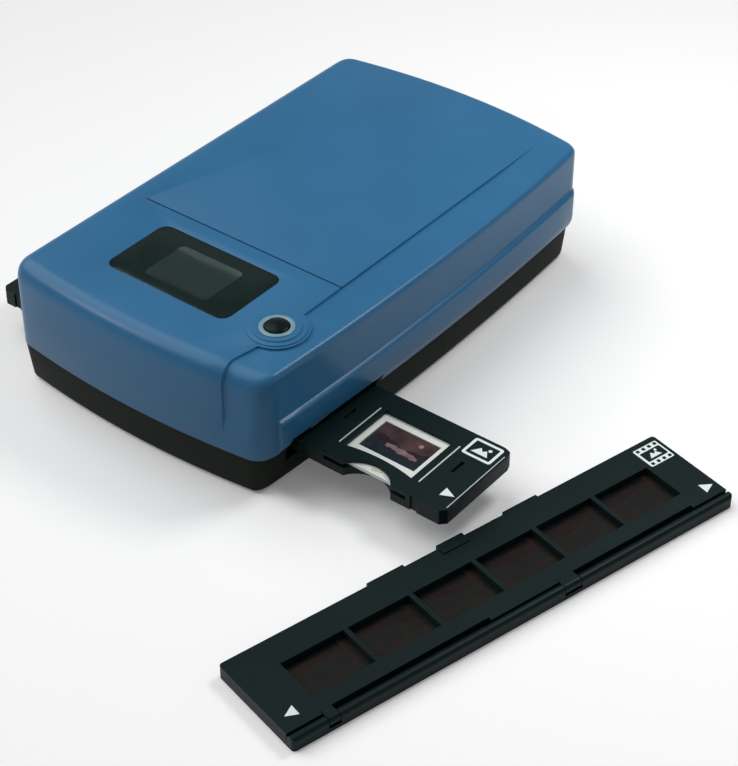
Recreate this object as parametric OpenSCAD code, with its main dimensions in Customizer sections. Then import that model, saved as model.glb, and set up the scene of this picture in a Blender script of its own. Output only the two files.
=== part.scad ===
// Film negative scanner with a motor-fed slide holder and a loose strip holder.
// The origin is on the table, under the middle of the whole set.

/* [Case] */
// Width of the case between its upper side walls
body_w = 169; // [165:0.5:176]
// Depth of the case between its front and rear corners
body_d = 275; // [271:1:292]
// Height of the top panel above the table
body_h = 74; // [73:0.5:84]
// Height that the feet hold the base off the table
foot_h = 1.2; // [1:0.1:2]
// Wall thickness of the two mouldings
wall = 2.5; // [2.2:0.1:2.8]
// How far the front wall bows out at its middle
front_bow = 6.5; // [5:0.5:9]
// How far the rear wall bows out at its middle
rear_bow = 9; // [7.5:0.5:11]
// How far the right wall bows out at its middle
side_bow = 5; // [4:0.5:7]
// Least length that each rounded corner takes off the sides
corner_r = 9; // [8:0.5:14]
// Rounding of the top edge along the front
front_round = 10; // [8:0.5:11]
// Rounding of the top edge along the right side
right_round = 3.5; // [2.5:0.5:5]
// Rounding of the top edge along the rear
rear_round = 5; // [3:0.5:6]
// Rounding of the top edge along the left side
left_round = 7; // [5:0.5:8]
// Width of the ledge along the right side
ledge_w = 2.3; // [1.5:0.1:3]
// Height of that ledge at the middle of the side
ledge_z = 46; // [42:0.5:50]
// How far the ledge climbs from front to rear
ledge_rise = 4; // [0:0.5:6]
// How far the base walls lean in towards the bottom
base_lean = 2.4; // [1.5:0.1:3.5]

/* [Top panel] */
// Height of the raised panel above the strip on its right
panel_step = 1.2; // [0.8:0.1:1.5]
// Distance of the panel's long edge from the right side
panel_edge_in = 19.5; // [17.5:0.5:21.5]
// Distance of the groove across the panel from the front
groove_in = 86.5; // [83.5:0.5:91.5]
// Width of that groove
groove_w = 1; // [0.6:0.1:1.2]
// Length of the display window
window_w = 81.5; // [78:0.5:84]
// Depth of the display window
window_d = 46.5; // [44:0.5:48]
// Corner radius of the display window
window_r = 6; // [4:0.5:8]
// Thickness of the window plate
window_t = 1.6; // [1.2:0.1:1.8]
// Distance of the window's middle from the case middle, across
window_x = -3.3; // [-5:0.1:-1]
// Distance of the window's middle from the front
window_in = 51.2; // [50:0.1:52.5]
// Length of the picture area of the display
display_w = 42; // [38:0.5:46]
// Depth of the picture area of the display
display_d = 31; // [28:0.5:33]
// Distance of the button from the right side
button_in_x = 22.8; // [22:0.1:23.5]
// Distance of the button from the front
button_in_y = 40.1; // [39.1:0.1:41.1]
// Radius of the button cap
button_r = 6.3; // [5.5:0.1:6.8]
// How far the button can be pressed
button_travel = 1.2; // [0.8:0.1:1.4]
// Radius of the widest terrace round the button
boss_r = 15.5; // [15:0.5:16.5]

/* [Holders] */
// Width of both film holders
holder_w = 58; // [57:0.5:60]
// Thickness of the slide holder
holder_t = 9; // [8.5:0.5:10]
// Length of the slide holder
holder_l = 300; // [296:1:306]
// Distance from one slide to the next
slide_pitch = 67.5; // [66:0.5:69]
// How far the slide holder's middle stands to the right of the case middle
holder_x = 26.2; // [22:0.1:30]
// Side of a square slide mount
mount_side = 50; // [49:0.5:51]
// Thickness of a slide mount
mount_t = 2; // [1.6:0.1:2.4]
// Length of the picture opening in a slide mount
slide_l = 34.6; // [33:0.1:36]
// Height of the picture opening in a slide mount
slide_h = 22.9; // [22:0.1:24]
// Length of the strip holder
strip_l = 268; // [262:1:276]
// Thickness of the strip holder
strip_t = 7.5; // [7.2:0.1:9]
// Distance from one film frame to the next
frame_pitch = 38; // [37.5:0.5:38.5]
// Number of film frames in a strip
frames = 6; // [4:1:6]
// Length of one window in the strip holder
frame_l = 35.4; // [34:0.1:36]
// Height of one window in the strip holder
frame_h = 25; // [24:0.5:26]
// Width of the film
film_w = 35; // [34.5:0.5:35]

/* [Feed drive] */
// Module of the rack and of the gear that moves it
rack_module = 1; // [0.9:0.05:1.1]
// Teeth of the gear that moves the rack
rack_gear_teeth = 20; // [18:1:21]
// Module of the motor's gear pair
drive_module = 0.6; // [0.55:0.01:0.62]
// Teeth of the wheel that the motor turns
wheel_teeth = 51; // [48:1:52]
// Teeth of the motor pinion
pinion_teeth = 17; // [16:1:18]
// Play between gear teeth along the pitch line
backlash = 0.14; // [0.1:0.01:0.2]

/* [Optics] */
// How far the optics carriage can move to each side
scan_travel = 19; // [15:1:20]
// Radius of the guide rods
rod_r = 2; // [1.5:0.1:2.3]
// Radius of the lens barrel
barrel_r = 10; // [8:0.5:10.5]

/* [Clearances] */
// Play round a shaft in its bore
shaft_play = 0.05; // [0.03:0.01:0.08]
// Gap between a part that slides and its guide
slide_gap = 0.3; // [0.25:0.05:0.4]
// Gap between a part and the seat that holds it
seat_gap = 0.1; // [0.05:0.05:0.15]

/* [Places in the set] */
// Middle of the case from the middle of the set, across
set_x = -72.5; // [-80:0.5:-65]
// Middle of the case from the middle of the set, along
set_y = 54.5; // [45:0.5:62]
// Middle of the strip holder from the case middle, across
strip_x = 207.5; // [207:0.5:218]
// Middle of the strip holder from the case middle, along
strip_y = -119; // [-126:0.5:-112]
// How far the strip holder is turned on the table
strip_turn = 75.4; // [72:0.2:80]

/* [Hidden] */

$fn = 96;
bite = 1; // how far a cutting tool runs past the face it cuts

// Heights, from the table up
floor_z = foot_h + wall;
lamp_room = 8.3;
bed_t = 3.7;
bed_z = floor_z + lamp_room;
holder_z = bed_z + bed_t + slide_gap;
seam_z = holder_z + holder_t - 1;
slot_z0 = holder_z - 3;
slot_z1 = holder_z + holder_t + 4.5;
plate_t = 2;
plate_z = slot_z1 + 1;
ceiling_z = body_h - panel_step - wall;

// Places along and across the case
front_y = -body_d / 2;
rear_y = body_d / 2;
holder_y = front_y + 54.5;
slot_y0 = holder_y - holder_w / 2 - 6;
slot_y1 = holder_y + holder_w / 2 + 5;
optic_x = holder_x - slide_pitch / 2;
window_y = front_y + window_in;
groove_y = front_y + groove_in;
panel_edge_x = body_w / 2 - panel_edge_in;
button_x = body_w / 2 - button_in_x;
button_y = front_y + button_in_y;

// The lip of the base that stands inside the cover
lip_h = 2;
lip_t = 1.2;

// Screw places in the corners of the case
screw_x = body_w / 2 - 12;
screw_y = body_d / 2 - 15.5;
screw_r = 1.5;
screw_head_r = 3;
boss_out_r = 4.5;

colour_blue = "#3d6f97";
colour_black = "#262c27";
colour_holder = "#1d2a29";
colour_board = "#1f5a3c";
colour_steel = "#b9bec2";
colour_brass = "#b59a55";
colour_white = "#e3e8e4";

// ---------- shapes that several parts share ----------

module in_case() {
    translate([set_x, set_y, 0]) children();
}

module in_strip() {
    translate([set_x + strip_x, set_y + strip_y, 0]) rotate(strip_turn) children();
}

// A rectangle about the origin with true round corners
module rounded(w, d, r) {
    square([w, d - 2 * r], center = true);
    square([w - 2 * r, d], center = true);
    for (sx = [-1, 1], sy = [-1, 1])
        translate([sx * (w / 2 - r), sy * (d / 2 - r)]) circle(r);
}

module block(size, at) {
    translate(at - [size[0] / 2, size[1] / 2, 0]) cube(size);
}

// A cylinder along X that starts at the given point
module rod_x(r, l, at) {
    translate(at) rotate([0, 90, 0]) cylinder(r = r, h = l);
}

module rod_y(r, l, at) {
    translate(at) rotate([-90, 0, 0]) cylinder(r = r, h = l);
}

// ---------- the outline of the case ----------

// Side lengths: front, right, rear, left, counted anticlockwise
side_len = [body_w, body_d, body_w, body_d];
side_bows = [front_bow, side_bow, rear_bow, 0];
side_rounds = [front_round, right_round, rear_round, left_round];
case_corners = [
    [-body_w / 2, front_y], [body_w / 2, front_y], [body_w / 2, rear_y], [-body_w / 2, rear_y]
];

function outward(i) = let (d = case_corners[(i + 1) % 4] - case_corners[i]) [d[1], -d[0]] / norm(d);

function side_point(i, t) =
    case_corners[i] + (case_corners[(i + 1) % 4] - case_corners[i]) * t
    + outward(i) * side_bows[i] * 4 * t * (1 - t);

function side_run(i, t) =
    case_corners[(i + 1) % 4] - case_corners[i] + outward(i) * side_bows[i] * 4 * (1 - 2 * t);

function inward(run) = [-run[1], run[0]] / norm(run);

// How far the rounded corner beside another side reaches along a side
function leg(other) = max(corner_r, side_rounds[other] + panel_step + 0.5);
function side_start(i) = leg((i + 3) % 4) / side_len[i];
function side_end(i) = 1 - leg((i + 1) % 4) / side_len[i];

// What moving side i, or sides i and k, inward by 1 does to a point
function moves(i, v, k, w) = [for (j = [0:3]) j == i ? v : j == k ? w : [0, 0]];

// Each outline point is [place, its moves, is it on the low strip, share of the ledge]
function side_entry(i, t, low, ledge = 0) =
    [side_point(i, t), moves(i, inward(side_run(i, t)), -1, [0, 0]), low, ledge];

corner_steps = 7;

function corner_entry(i, s) =
    let (
        k = (i + 1) % 4,
        ni = inward(side_run(i, side_end(i))),
        nk = inward(side_run(k, side_start(k))),
        q = ni * nk,
        wa = pow(1 - s, 2),
        wc = 2 * s * (1 - s),
        wb = s * s,
        p = side_point(i, side_end(i)) * wa + case_corners[k] * wc + side_point(k, side_start(k)) * wb
    )
    [
        p,
        moves(i, ni * wa + (ni - nk * q) * wc / (1 - q * q), k, nk * wb + (nk - ni * q) * wc / (1 - q * q)),
        i == 0 || i == 1 ? 1 : 0,
        i == 1 ? 1 - s : 0
    ];

function corner_entries(i) = [for (j = [1:corner_steps - 1]) corner_entry(i, j / corner_steps)];

// The front side is split where the raised panel ends
riser_x = panel_edge_x - 3;
riser_run = 0.5;
riser_t0 = (riser_x + body_w / 2) / body_w;
riser_t1 = (riser_x + riser_run + body_w / 2) / body_w;
ledge_run = 0.6;
side_steps = [12, 16, 14, 4];

function spaced(t0, t1, n) = [for (k = [0:n]) t0 + (t1 - t0) * k / n];

function plain_side(i) =
    [for (t = spaced(side_start(i), side_end(i), side_steps[i])) side_entry(i, t, 0)];

front_side = concat(
    [for (t = spaced(side_start(0), riser_t0, side_steps[0])) side_entry(0, t, 0)],
    [for (t = spaced(riser_t1, side_end(0), 2)) side_entry(0, t, 1)]
);

// The ledge starts squarely behind the front corner
right_side = concat(
    [side_entry(1, side_start(1), 1)],
    [for (t = spaced(side_start(1) + ledge_run / body_d, side_end(1), side_steps[1])) side_entry(1, t, 1, 1)]
);

case_outline = concat(
    front_side, corner_entries(0),
    right_side, corner_entries(1),
    plain_side(2), corner_entries(2),
    plain_side(3), corner_entries(3)
);

// Where an outline point lies once each side has moved inward by its own amount
function place(u, insets) = u[0] + insets * u[1];

// How far a rounded top edge of radius r has come in at height z
function round_in(z, top, r) = z <= top - r ? 0 : r - sqrt(max(r * r - pow(z - top + r, 2), 0));

function eased(t) = let (c = min(max(t, 0), 1)) c * c * (3 - 2 * c);

// The low strip rises back to the panel's height at the rear
strip_fade_y0 = rear_y - 50;
strip_fade_y1 = rear_y - 14;
function step_at(y) =
    panel_step * (1 - min(max((y - strip_fade_y0) / (strip_fade_y1 - strip_fade_y0), 0), 1));

// The riser in the front wall fades out above the seam
riser_z0 = seam_z + 10;
riser_z1 = seam_z + 24;

curl_h = 7.5;
curl_in = ledge_w + 0.4;

// How far the right wall stands in from the upper wall at height z
function right_in(z) =
    z < seam_z + curl_h ? -ledge_w + curl_in * pow(1 - (z - seam_z) / curl_h, 2)
    : z < ledge_z - 1 ? -ledge_w
    : z < ledge_z ? -ledge_w * 0.7
    : 0;

function cover_insets(u, z) =
    let (low = u[2] * step_at(u[0][1]), top = body_h - low)
    [for (j = [0:3])
        round_in(min(z, top), top, side_rounds[j])
        + (j == 0 ? low * eased((z - riser_z0) / (riser_z1 - riser_z0)) : 0)
        + (j == 1 ? u[3] * right_in(z) : 0)];

// The ledge climbs along the right side
function tilted(u, z) = abs(z - ledge_z) < 2 ? z + u[3] * ledge_rise * u[0][1] / body_d : z;

function cover_ring(z) =
    [for (u = case_outline) let (p = place(u, cover_insets(u, z))) [p[0], p[1], tilted(u, z)]];

function plain_ring(z, inset, right_more) =
    [for (u = case_outline) let (p = place(u, [inset, inset + right_more, inset, inset])) [p[0], p[1], z]];

// The hollow inside the cover keeps the wall under the rounded edge
function hollow_ring(z) =
    let (insets = [for (r = side_rounds) wall + round_in(z, ceiling_z, max(r - wall, 1.5))])
    [for (u = case_outline) let (p = place(u, insets)) [p[0], p[1], z]];

function middle(ring) = [0, 0, ring[0][2]];

// A closed skin through a list of rings, each with as many points as the next.
// Its two flat ends are fans about the case's axis.
module loft(rings) {
    n = len(rings[0]);
    last = len(rings) - 1;
    start = n * (last + 1);
    polyhedron(
        points = concat([for (ring = rings) each ring], [middle(rings[0]), middle(rings[last])]),
        faces = [for (i = [0:n - 1]) let (j = (i + 1) % n) each concat(
            [[start, i, j]],
            [for (k = [0:last - 1]) each [
                [k * n + i, (k + 1) * n + i, (k + 1) * n + j],
                [k * n + i, (k + 1) * n + j, k * n + j]
            ]],
            [[start + 1, last * n + j, last * n + i]]
        )]
    );
}

low_top = body_h - panel_step;
cover_levels = concat(
    [seam_z, seam_z + 2, seam_z + 4.5, seam_z + curl_h],
    [riser_z0 + 1, ledge_z - 1.6, ledge_z - 0.7, ledge_z, riser_z1 + 2],
    [for (s = [1, 0.8, 0.6]) body_h - front_round * s],
    [for (s = [0.94, 0.7, 0.46, 0.26, 0.11, 0]) low_top - right_round * s],
    [for (s = [0.5, 0.17, 0]) body_h - panel_step * s]
);
hollow_levels = [for (s = [0, 0.12, 0.35, 0.65, 1]) ceiling_z - (front_round - wall) * s];

module cover_skin() {
    loft(concat(
        [for (z = hollow_levels) hollow_ring(z)],
        [plain_ring(seam_z, wall, 0)],
        [for (z = cover_levels) cover_ring(z)]
    ));
}

// Where the riser of the front wall meets the top
riser_top = place(side_entry(0, riser_t0, 0), [front_round, 0, 0, 0]) * 0.45
    + place(side_entry(0, riser_t1, 1), [front_round + panel_step, 0, 0, 0]) * 0.55;

// The cut that lowers the strip to the right of the panel, with a ramp at the rear
module low_strip_cut() {
    far = body_w / 2 + side_bow + 5;
    intersection() {
        translate([0, 0, body_h - panel_step - 5]) linear_extrude(20) difference() {
            polygon([
                [riser_top[0] + 4, front_y - front_bow - 5],
                riser_top + [0.5, -3],
                riser_top + [-0.04, 0.25],
                [button_x + 2, button_y - 18],
                [panel_edge_x, button_y],
                [panel_edge_x, rear_y + rear_bow],
                [far, rear_y + rear_bow],
                [far, front_y - front_bow - 5]
            ]);
            translate([button_x, button_y]) circle(boss_r + 1.5);
        }
        rotate([90, 0, 90]) linear_extrude(far) polygon([
            [front_y - front_bow - 5, body_h - panel_step],
            [strip_fade_y0, body_h - panel_step],
            [strip_fade_y1, body_h],
            [strip_fade_y1, body_h + 5],
            [front_y - front_bow - 5, body_h + 5]
        ]);
    }
}

// Cuts through both side walls, leaving what stands inside the case
module through_sides() {
    for (x = [-body_w / 2 - 10, body_w / 2 - 7])
        rotate([90, 0, 90]) translate([0, 0, x]) linear_extrude(17) children();
}

module slot_opening(z0, z1) {
    translate([slot_y0, z0]) square([slot_y1 - slot_y0, z1 - z0]);
}

// The cover's edge is rounded where the slot meets the seam
slot_lobe_r = 5;
module slot_lobe() {
    translate([slot_y0 - slot_lobe_r, seam_z - bite]) difference() {
        square([slot_lobe_r + bite, slot_lobe_r + bite]);
        translate([0, slot_lobe_r + bite]) circle(slot_lobe_r);
    }
}

module at_screws() {
    for (sx = [-1, 1], sy = [-1, 1]) translate([sx * screw_x, sy * screw_y, 0]) children();
}

// ---------- case ----------

window_depth = window_t + 0.2;
ring_r = button_r + 3;
terrace_h = 0.5;
groove_depth = 0.9;
groove_reach = body_w / 2 - 15.9;
boss_top = body_h + 2 * terrace_h;
ring_seat = 1.4;
panel_hole_r = button_r + 0.4;

module top_cover() {
    color(colour_blue) in_case() difference() {
        union() {
            difference() {
                cover_skin();
                low_strip_cut();
            }
            translate([button_x, button_y, ceiling_z + 0.5]) {
                cylinder(r = boss_r, h = body_h + terrace_h - ceiling_z - 0.5);
                cylinder(r = boss_r - 3, h = boss_top - ceiling_z - 0.5);
            }
            at_screws() translate([0, 0, plate_z]) cylinder(r = boss_out_r, h = ceiling_z + 0.5 - plate_z);
            board_posts();
        }
        // seat of the display window, with a through opening for the display
        translate([window_x, window_y, body_h - window_depth]) linear_extrude(window_depth + bite)
            rounded(window_w, window_d, window_r);
        translate([window_x, window_y, ceiling_z - bite]) linear_extrude(10)
            rounded(display_w + 6, display_d + 6, 2);
        // groove across the panel
        translate([-groove_reach, groove_y - groove_w / 2, body_h - groove_depth])
            cube([groove_reach + panel_edge_x + bite, groove_w, 5]);
        // seat of the button ring and hole for the button
        translate([button_x, button_y, boss_top - ring_seat]) cylinder(r = ring_r + seat_gap, h = 10);
        translate([button_x, button_y, ceiling_z - bite]) cylinder(r = panel_hole_r, h = 10);
        through_sides() {
            slot_opening(seam_z - bite, slot_z1);
            slot_lobe();
        }
        at_screws() translate([0, 0, plate_z - bite]) cylinder(r = screw_r - 0.2, h = 20);
    }
}

// Posts under the cover that hold the front board
board_t = 1.6;
board_room = 10.3;
front_board_z = ceiling_z - board_room;
front_board_top = front_board_z + board_t;
board_post_r = 3;
board_posts_at = [
    [window_x - window_w / 2 + 3, window_y - window_d / 2 + 3],
    [window_x - window_w / 2 + 3, window_y + window_d / 2 - 3],
    [window_x + window_w / 2 + 1, window_y + window_d / 2 - 3]
];

module board_posts() {
    for (p = board_posts_at)
        translate([p[0], p[1], front_board_top])
            cylinder(r = board_post_r, h = ceiling_z + 0.5 - front_board_top);
}

base_levels = [0, 0.5, 1.1, 1.8];
base_edge_r = 1.8;
function base_lean_at(z) = base_lean * (seam_z - z) / (seam_z - foot_h);

// How far the rounded lower edge has come in at the height s above the bottom
function base_edge_in(s) = base_edge_r - sqrt(pow(base_edge_r, 2) - pow(base_edge_r - s, 2));

module base_skin() {
    seam_in = 0.25;
    right_more = 2.1;
    loft(concat(
        [for (s = base_levels) let (z = foot_h + s)
            plain_ring(z, seam_in + base_lean_at(z) + base_edge_in(s), right_more)],
        [plain_ring(seam_z, seam_in, right_more)],
        [plain_ring(seam_z, wall + seat_gap, 0), plain_ring(seam_z + lip_h, wall + seat_gap, 0)],
        [plain_ring(seam_z + lip_h, wall + seat_gap + lip_t, 0)],
        [plain_ring(seam_z, wall + seat_gap + lip_t, 0)],
        [plain_ring(floor_z, wall + seat_gap + lip_t + base_lean, 0)]
    ));
}

// Posts of the mechanism frame, and where they stand
post_r = 4;
front_post_x = body_w / 2 - 28.5;
rear_post_x = body_w / 2 - 24.5;
post_places = [
    for (s = [-1, 1]) each [[s * front_post_x, slot_y0 - 4], [s * rear_post_x, rear_y - 79.5]]
];

// The flat panel for the sockets in the rear wall
socket_y = rear_y + 3;
usb_x = 20;
jack_x = 3;
switch_x = -18;
usb_w = 12.4;
usb_h = 10.9;
jack_w = 9.4;
jack_h = 11;
switch_w = 21;
switch_h = 13;
switch_rim = 1.2;
panel_x0 = switch_x - switch_w / 2 - 3;
panel_x1 = usb_x + usb_w / 2 + 3;

vent_w = 2.5;
vent_l = 34;
vents = 9;

board_stand_h = 6.3;
main_board_z = floor_z + board_stand_h;
main_board_top = main_board_z + board_t;
socket_z = main_board_top + switch_h / 2 - switch_rim + 0.1;
main_board_w = 90;
main_board_y0 = rear_y - 59.5;
vent_y = main_board_y0 + 26;
main_board_y1 = socket_y - 3.3;
stand_places = [for (x = [-40, 40], y = [main_board_y0 + 5, main_board_y1 - 9]) [x, y]];

module base_tub() {
    color(colour_black) in_case() difference() {
        union() {
            base_skin();
            // tall bosses that meet the cover's bosses
            at_screws() translate([0, 0, floor_z - bite])
                cylinder(r = boss_out_r, h = plate_z - floor_z + bite);
            for (p = post_places) translate([p[0], p[1], floor_z - bite])
                cylinder(r = post_r, h = plate_z - floor_z + bite);
            // boss that carries the feed gear and its shaft
            translate([gear_x, gear_y, floor_z - bite])
                cylinder(r = gear_boss_r, h = gear_z0 - slide_gap - floor_z + bite);
            for (p = stand_places) translate([p[0], p[1], floor_z - bite])
                cylinder(r = 3, h = board_stand_h + bite);
            // flat panel behind the sockets
            translate([panel_x0 - 2, socket_y - 2.5, floor_z - bite])
                cube([panel_x1 - panel_x0 + 4, 2.5, seam_z - 0.2 - floor_z + bite]);
        }
        // recess that bares the socket panel, and its three openings
        translate([panel_x0, socket_y, floor_z + 0.8])
            cube([panel_x1 - panel_x0, 20, seam_z - floor_z + lip_h]);
        block([usb_w, 20, usb_h], [usb_x, socket_y, main_board_top]);
        block([jack_w, 20, jack_h], [jack_x, socket_y, main_board_top]);
        block([switch_w - 2 * switch_rim, 20, switch_h - 2 * switch_rim],
            [switch_x, socket_y, socket_z - switch_h / 2 + switch_rim]);
        through_sides() slot_opening(slot_z0, seam_z + lip_h + bite);
        at_screws() {
            translate([0, 0, foot_h - bite])
                cylinder(r = screw_head_r + 0.4, h = screw_head_z - foot_h + bite);
            cylinder(r = screw_r + 0.2, h = plate_z + bite);
        }
        translate([gear_x, gear_y, shaft_z0]) cylinder(r = shaft_r + 0.02, h = 30);
        // cooling slots in the floor under the main board
        for (k = [0:vents - 1])
            translate([(k - (vents - 1) / 2) * 2.6 * vent_w, vent_y, 0]) linear_extrude(floor_z + bite)
                rounded(vent_w, vent_l, vent_w / 2 - 0.01);
        // dimples that hold the feet
        for (p = foot_places) translate([p[0], p[1], foot_h - bite])
            cylinder(r = foot_r + seat_gap, h = foot_seat + bite);
    }
}

foot_r = 7;
foot_seat = 0.8;
foot_edge = 0.6;
foot_places = [
    for (sx = [-1, 1], sy = [-1, 1]) [sx * (body_w / 2 - 27), sy * (body_d / 2 - 20)]
];

module rubber_feet() {
    color("#1b1d1c") in_case() for (p = foot_places) translate([p[0], p[1], 0])
        rotate_extrude() {
            square([foot_r - foot_edge, foot_h + foot_seat]);
            translate([0, foot_edge]) square([foot_r, foot_h + foot_seat - foot_edge]);
            translate([foot_r - foot_edge, foot_edge]) circle(foot_edge, $fn = 32);
        }
}

screw_head_z = foot_h + 4;
module case_screws() {
    color(colour_steel) in_case() at_screws() {
        difference() {
            translate([0, 0, screw_head_z - 2]) cylinder(r = screw_head_r, h = 2);
            for (a = [0, 90]) rotate(a) block([3.6, 0.9, 1.2], [0, 0, screw_head_z - 2 - 0.2]);
        }
        translate([0, 0, screw_head_z - 0.1]) cylinder(r = screw_r - 0.25, h = plate_z + 14 - screw_head_z);
    }
}

// ---------- top panel ----------

module display_window() {
    color("#182c2a") in_case() translate([window_x, window_y, body_h - window_depth])
        linear_extrude(window_t)
            rounded(window_w - 2 * seat_gap, window_d - 2 * seat_gap, window_r - seat_gap);
}

module display_module() {
    top = body_h - window_depth - seat_gap;
    color("#293c3a") in_case() translate([window_x, window_y, 0]) difference() {
        union() {
            block([display_w + 4, display_d + 4, top - 0.4 - front_board_top], [0, 0, front_board_top]);
            block([display_w, display_d, 0.4], [0, 0, top - 0.4]);
        }
        // hollow under the panel for the parts on the board
        block([display_w, display_d, top - 4 - front_board_top], [0, 0, front_board_top - bite]);
    }
}

switch_body = 6;
switch_body_h = 3.2;
flat_plug = [13, 5, 3];
module front_board() {
    x0 = window_x - window_w / 2 - 1;
    x1 = button_x + 11;
    color(colour_board) in_case() {
        difference() {
            translate([x0, window_y - window_d / 2 - 1, front_board_z])
                cube([x1 - x0, window_d + 2, board_t]);
            translate([window_x, window_y, front_board_z - bite]) linear_extrude(10) rounded(24, 8, 2);
        }
        block([switch_body, switch_body, switch_body_h], [button_x, button_y, front_board_top - 0.01]);
        translate([button_x, button_y, front_board_top + switch_body_h - 0.02])
            cylinder(r = 1.7, h = 0.5, $fn = 48);
        block(flat_plug, [window_x + display_w / 2 + 10, window_y + window_d / 2 - 5, front_board_top - 0.01]);
    }
}

module button_ring() {
    color("#a9c6cc") in_case() translate([button_x, button_y, boss_top - ring_seat]) rotate_extrude() {
        translate([panel_hole_r, 0]) square([ring_r - panel_hole_r, ring_seat]);
        translate([panel_hole_r + 0.6, ring_seat - 0.1]) square([ring_r - panel_hole_r - 1.2, 0.7]);
        translate([panel_hole_r + 0.6, ring_seat]) circle(0.6, $fn = 32);
        translate([ring_r - 0.6, ring_seat]) circle(0.6, $fn = 32);
    }
}

// Flange that keeps the cap in, and the stem that presses the switch
flange_t = 1.4;
flange_z = ceiling_z - slide_gap - flange_t;
flange_r = button_r + 1.7;
button_top = boss_top + 2.2;
stem_r = 1.8;
stem_z = front_board_top + switch_body_h + 0.5 + button_travel + 0.2;
module scan_button() {
    dome = 16;
    color("#142020") in_case() translate([button_x, button_y, 0]) {
        intersection() {
            translate([0, 0, flange_z]) cylinder(r = button_r, h = button_top - flange_z);
            translate([0, 0, button_top - dome]) sphere(dome);
        }
        translate([0, 0, flange_z]) cylinder(r = flange_r, h = flange_t);
        translate([0, 0, stem_z]) cylinder(r = stem_r, h = flange_z - stem_z + bite, $fn = 48);
    }
}

// A wire that follows a helix about Z
module helix(r, wire, height, turns) {
    steps = 12;
    sides = 6;
    n = steps * turns;
    points = [for (k = [0:n], j = [0:sides - 1])
        let (a = 360 * k / steps, b = 360 * j / sides, q = r + wire * cos(b))
        [q * cos(a), q * sin(a), height * k / n + wire * sin(b)]];
    polyhedron(points, concat(
        [[for (j = [sides - 1:-1:0]) j]],
        [for (k = [0:n - 1], j = [0:sides - 1]) let (i = (j + 1) % sides) each [
            [k * sides + j, (k + 1) * sides + i, (k + 1) * sides + j],
            [k * sides + j, k * sides + i, (k + 1) * sides + i]
        ]],
        [[for (j = [0:sides - 1]) n * sides + j]]
    ));
}

spring_wire = 0.35;
module button_spring() {
    color(colour_steel) in_case()
        translate([button_x, button_y, front_board_top + spring_wire + 0.1])
            helix(flange_r - 1.6, spring_wire, flange_z - front_board_top - 2 * spring_wire - 0.2, 4);
}

// ---------- rear sockets and main board ----------

main_chip = [14, 14, 1.6];
memory_chip = [10, 20, 2.4];
capacitor_r = 3.2;
capacitor_h = 9;
module main_board() {
    color(colour_board) in_case() {
        difference() {
            translate([-main_board_w / 2, main_board_y0, main_board_z])
                cube([main_board_w, main_board_y1 - main_board_y0, board_t]);
            for (p = stand_places) translate([p[0], p[1], main_board_z - bite])
                cylinder(r = 1.3, h = 10, $fn = 48);
        }
        block(main_chip, [0, main_board_y0 + 26, main_board_top - 0.01]);
        block(memory_chip, [30, main_board_y0 + 22, main_board_top - 0.01]);
        for (k = [0:2]) translate([-36 + 10 * k, main_board_y0 + 14, main_board_top - 0.01])
            cylinder(r = capacitor_r, h = capacitor_h, $fn = 48);
    }
}

module usb_socket() {
    w = usb_w - 2 * seat_gap;
    h = usb_h - seat_gap;
    color(colour_steel) in_case() translate([usb_x, 0, main_board_top]) difference() {
        translate([-w / 2, socket_y - 16, 0]) cube([w, 16.4, h]);
        difference() {
            translate([-4.3, socket_y - 9, 1.6]) cube([8.6, 20, 7.8]);
            translate([-2.9, socket_y - 10, 3.9]) cube([5.8, 9.6, 3.2]);
        }
    }
}

module power_jack() {
    w = jack_w - 2 * seat_gap;
    h = jack_h - seat_gap;
    color("#202322") in_case() translate([jack_x, 0, main_board_top]) {
        difference() {
            translate([-w / 2, socket_y - 13, 0]) cube([w, 13.4, h]);
            rod_y(2.9, 20, [0, socket_y - 9.5, h / 2]);
        }
        rod_y(1, 8.6, [0, socket_y - 9.6, h / 2]);
    }
}

rocker_r = 5;
rocker_pin_r = 0.9;
rocker_w = switch_w - 2 * switch_rim - 4.4;
rocker_y = socket_y - 3;
module switch_frame() {
    inner_w = switch_w - 2 * switch_rim;
    inner_h = switch_h - 2 * switch_rim;
    color("#202322") in_case() translate([switch_x, 0, socket_z]) difference() {
        union() {
            translate([-switch_w / 2, socket_y + 0.01, -switch_h / 2]) cube([switch_w, 1.2, switch_h]);
            translate([-inner_w / 2 + seat_gap, socket_y - 11, -inner_h / 2 + seat_gap])
                cube([inner_w - 2 * seat_gap, 11.1, inner_h - 2 * seat_gap]);
        }
        rod_x(rocker_r + slide_gap, rocker_w + 2 * slide_gap, [-rocker_w / 2 - slide_gap, rocker_y, 0]);
        translate([-rocker_w / 2 - slide_gap, rocker_y, -rocker_r - slide_gap])
            cube([rocker_w + 2 * slide_gap, 20, 2 * (rocker_r + slide_gap)]);
        rod_x(rocker_pin_r + shaft_play, rocker_w + 4, [-rocker_w / 2 - 2, rocker_y, 0]);
    }
}

rocker_swing = 24;
module power_rocker() {
    color("#2b2f2e") in_case() translate([switch_x, rocker_y, socket_z]) rotate([-rocker_swing / 2, 0, 0]) {
        intersection() {
            rod_x(rocker_r, rocker_w, [-rocker_w / 2, 0, 0]);
            // two faces that meet in a shallow valley
            rotate([90, 0, 90]) translate([0, 0, -rocker_w / 2]) linear_extrude(rocker_w)
                polygon([[-6, -6], [4.9, -6], [3.4, 0], [4.9, 6], [-6, 6]]);
        }
        rod_x(rocker_pin_r, rocker_w + 3, [-rocker_w / 2 - 1.5, 0, 0]);
    }
}

// ---------- frame, track and lamp ----------

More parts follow.
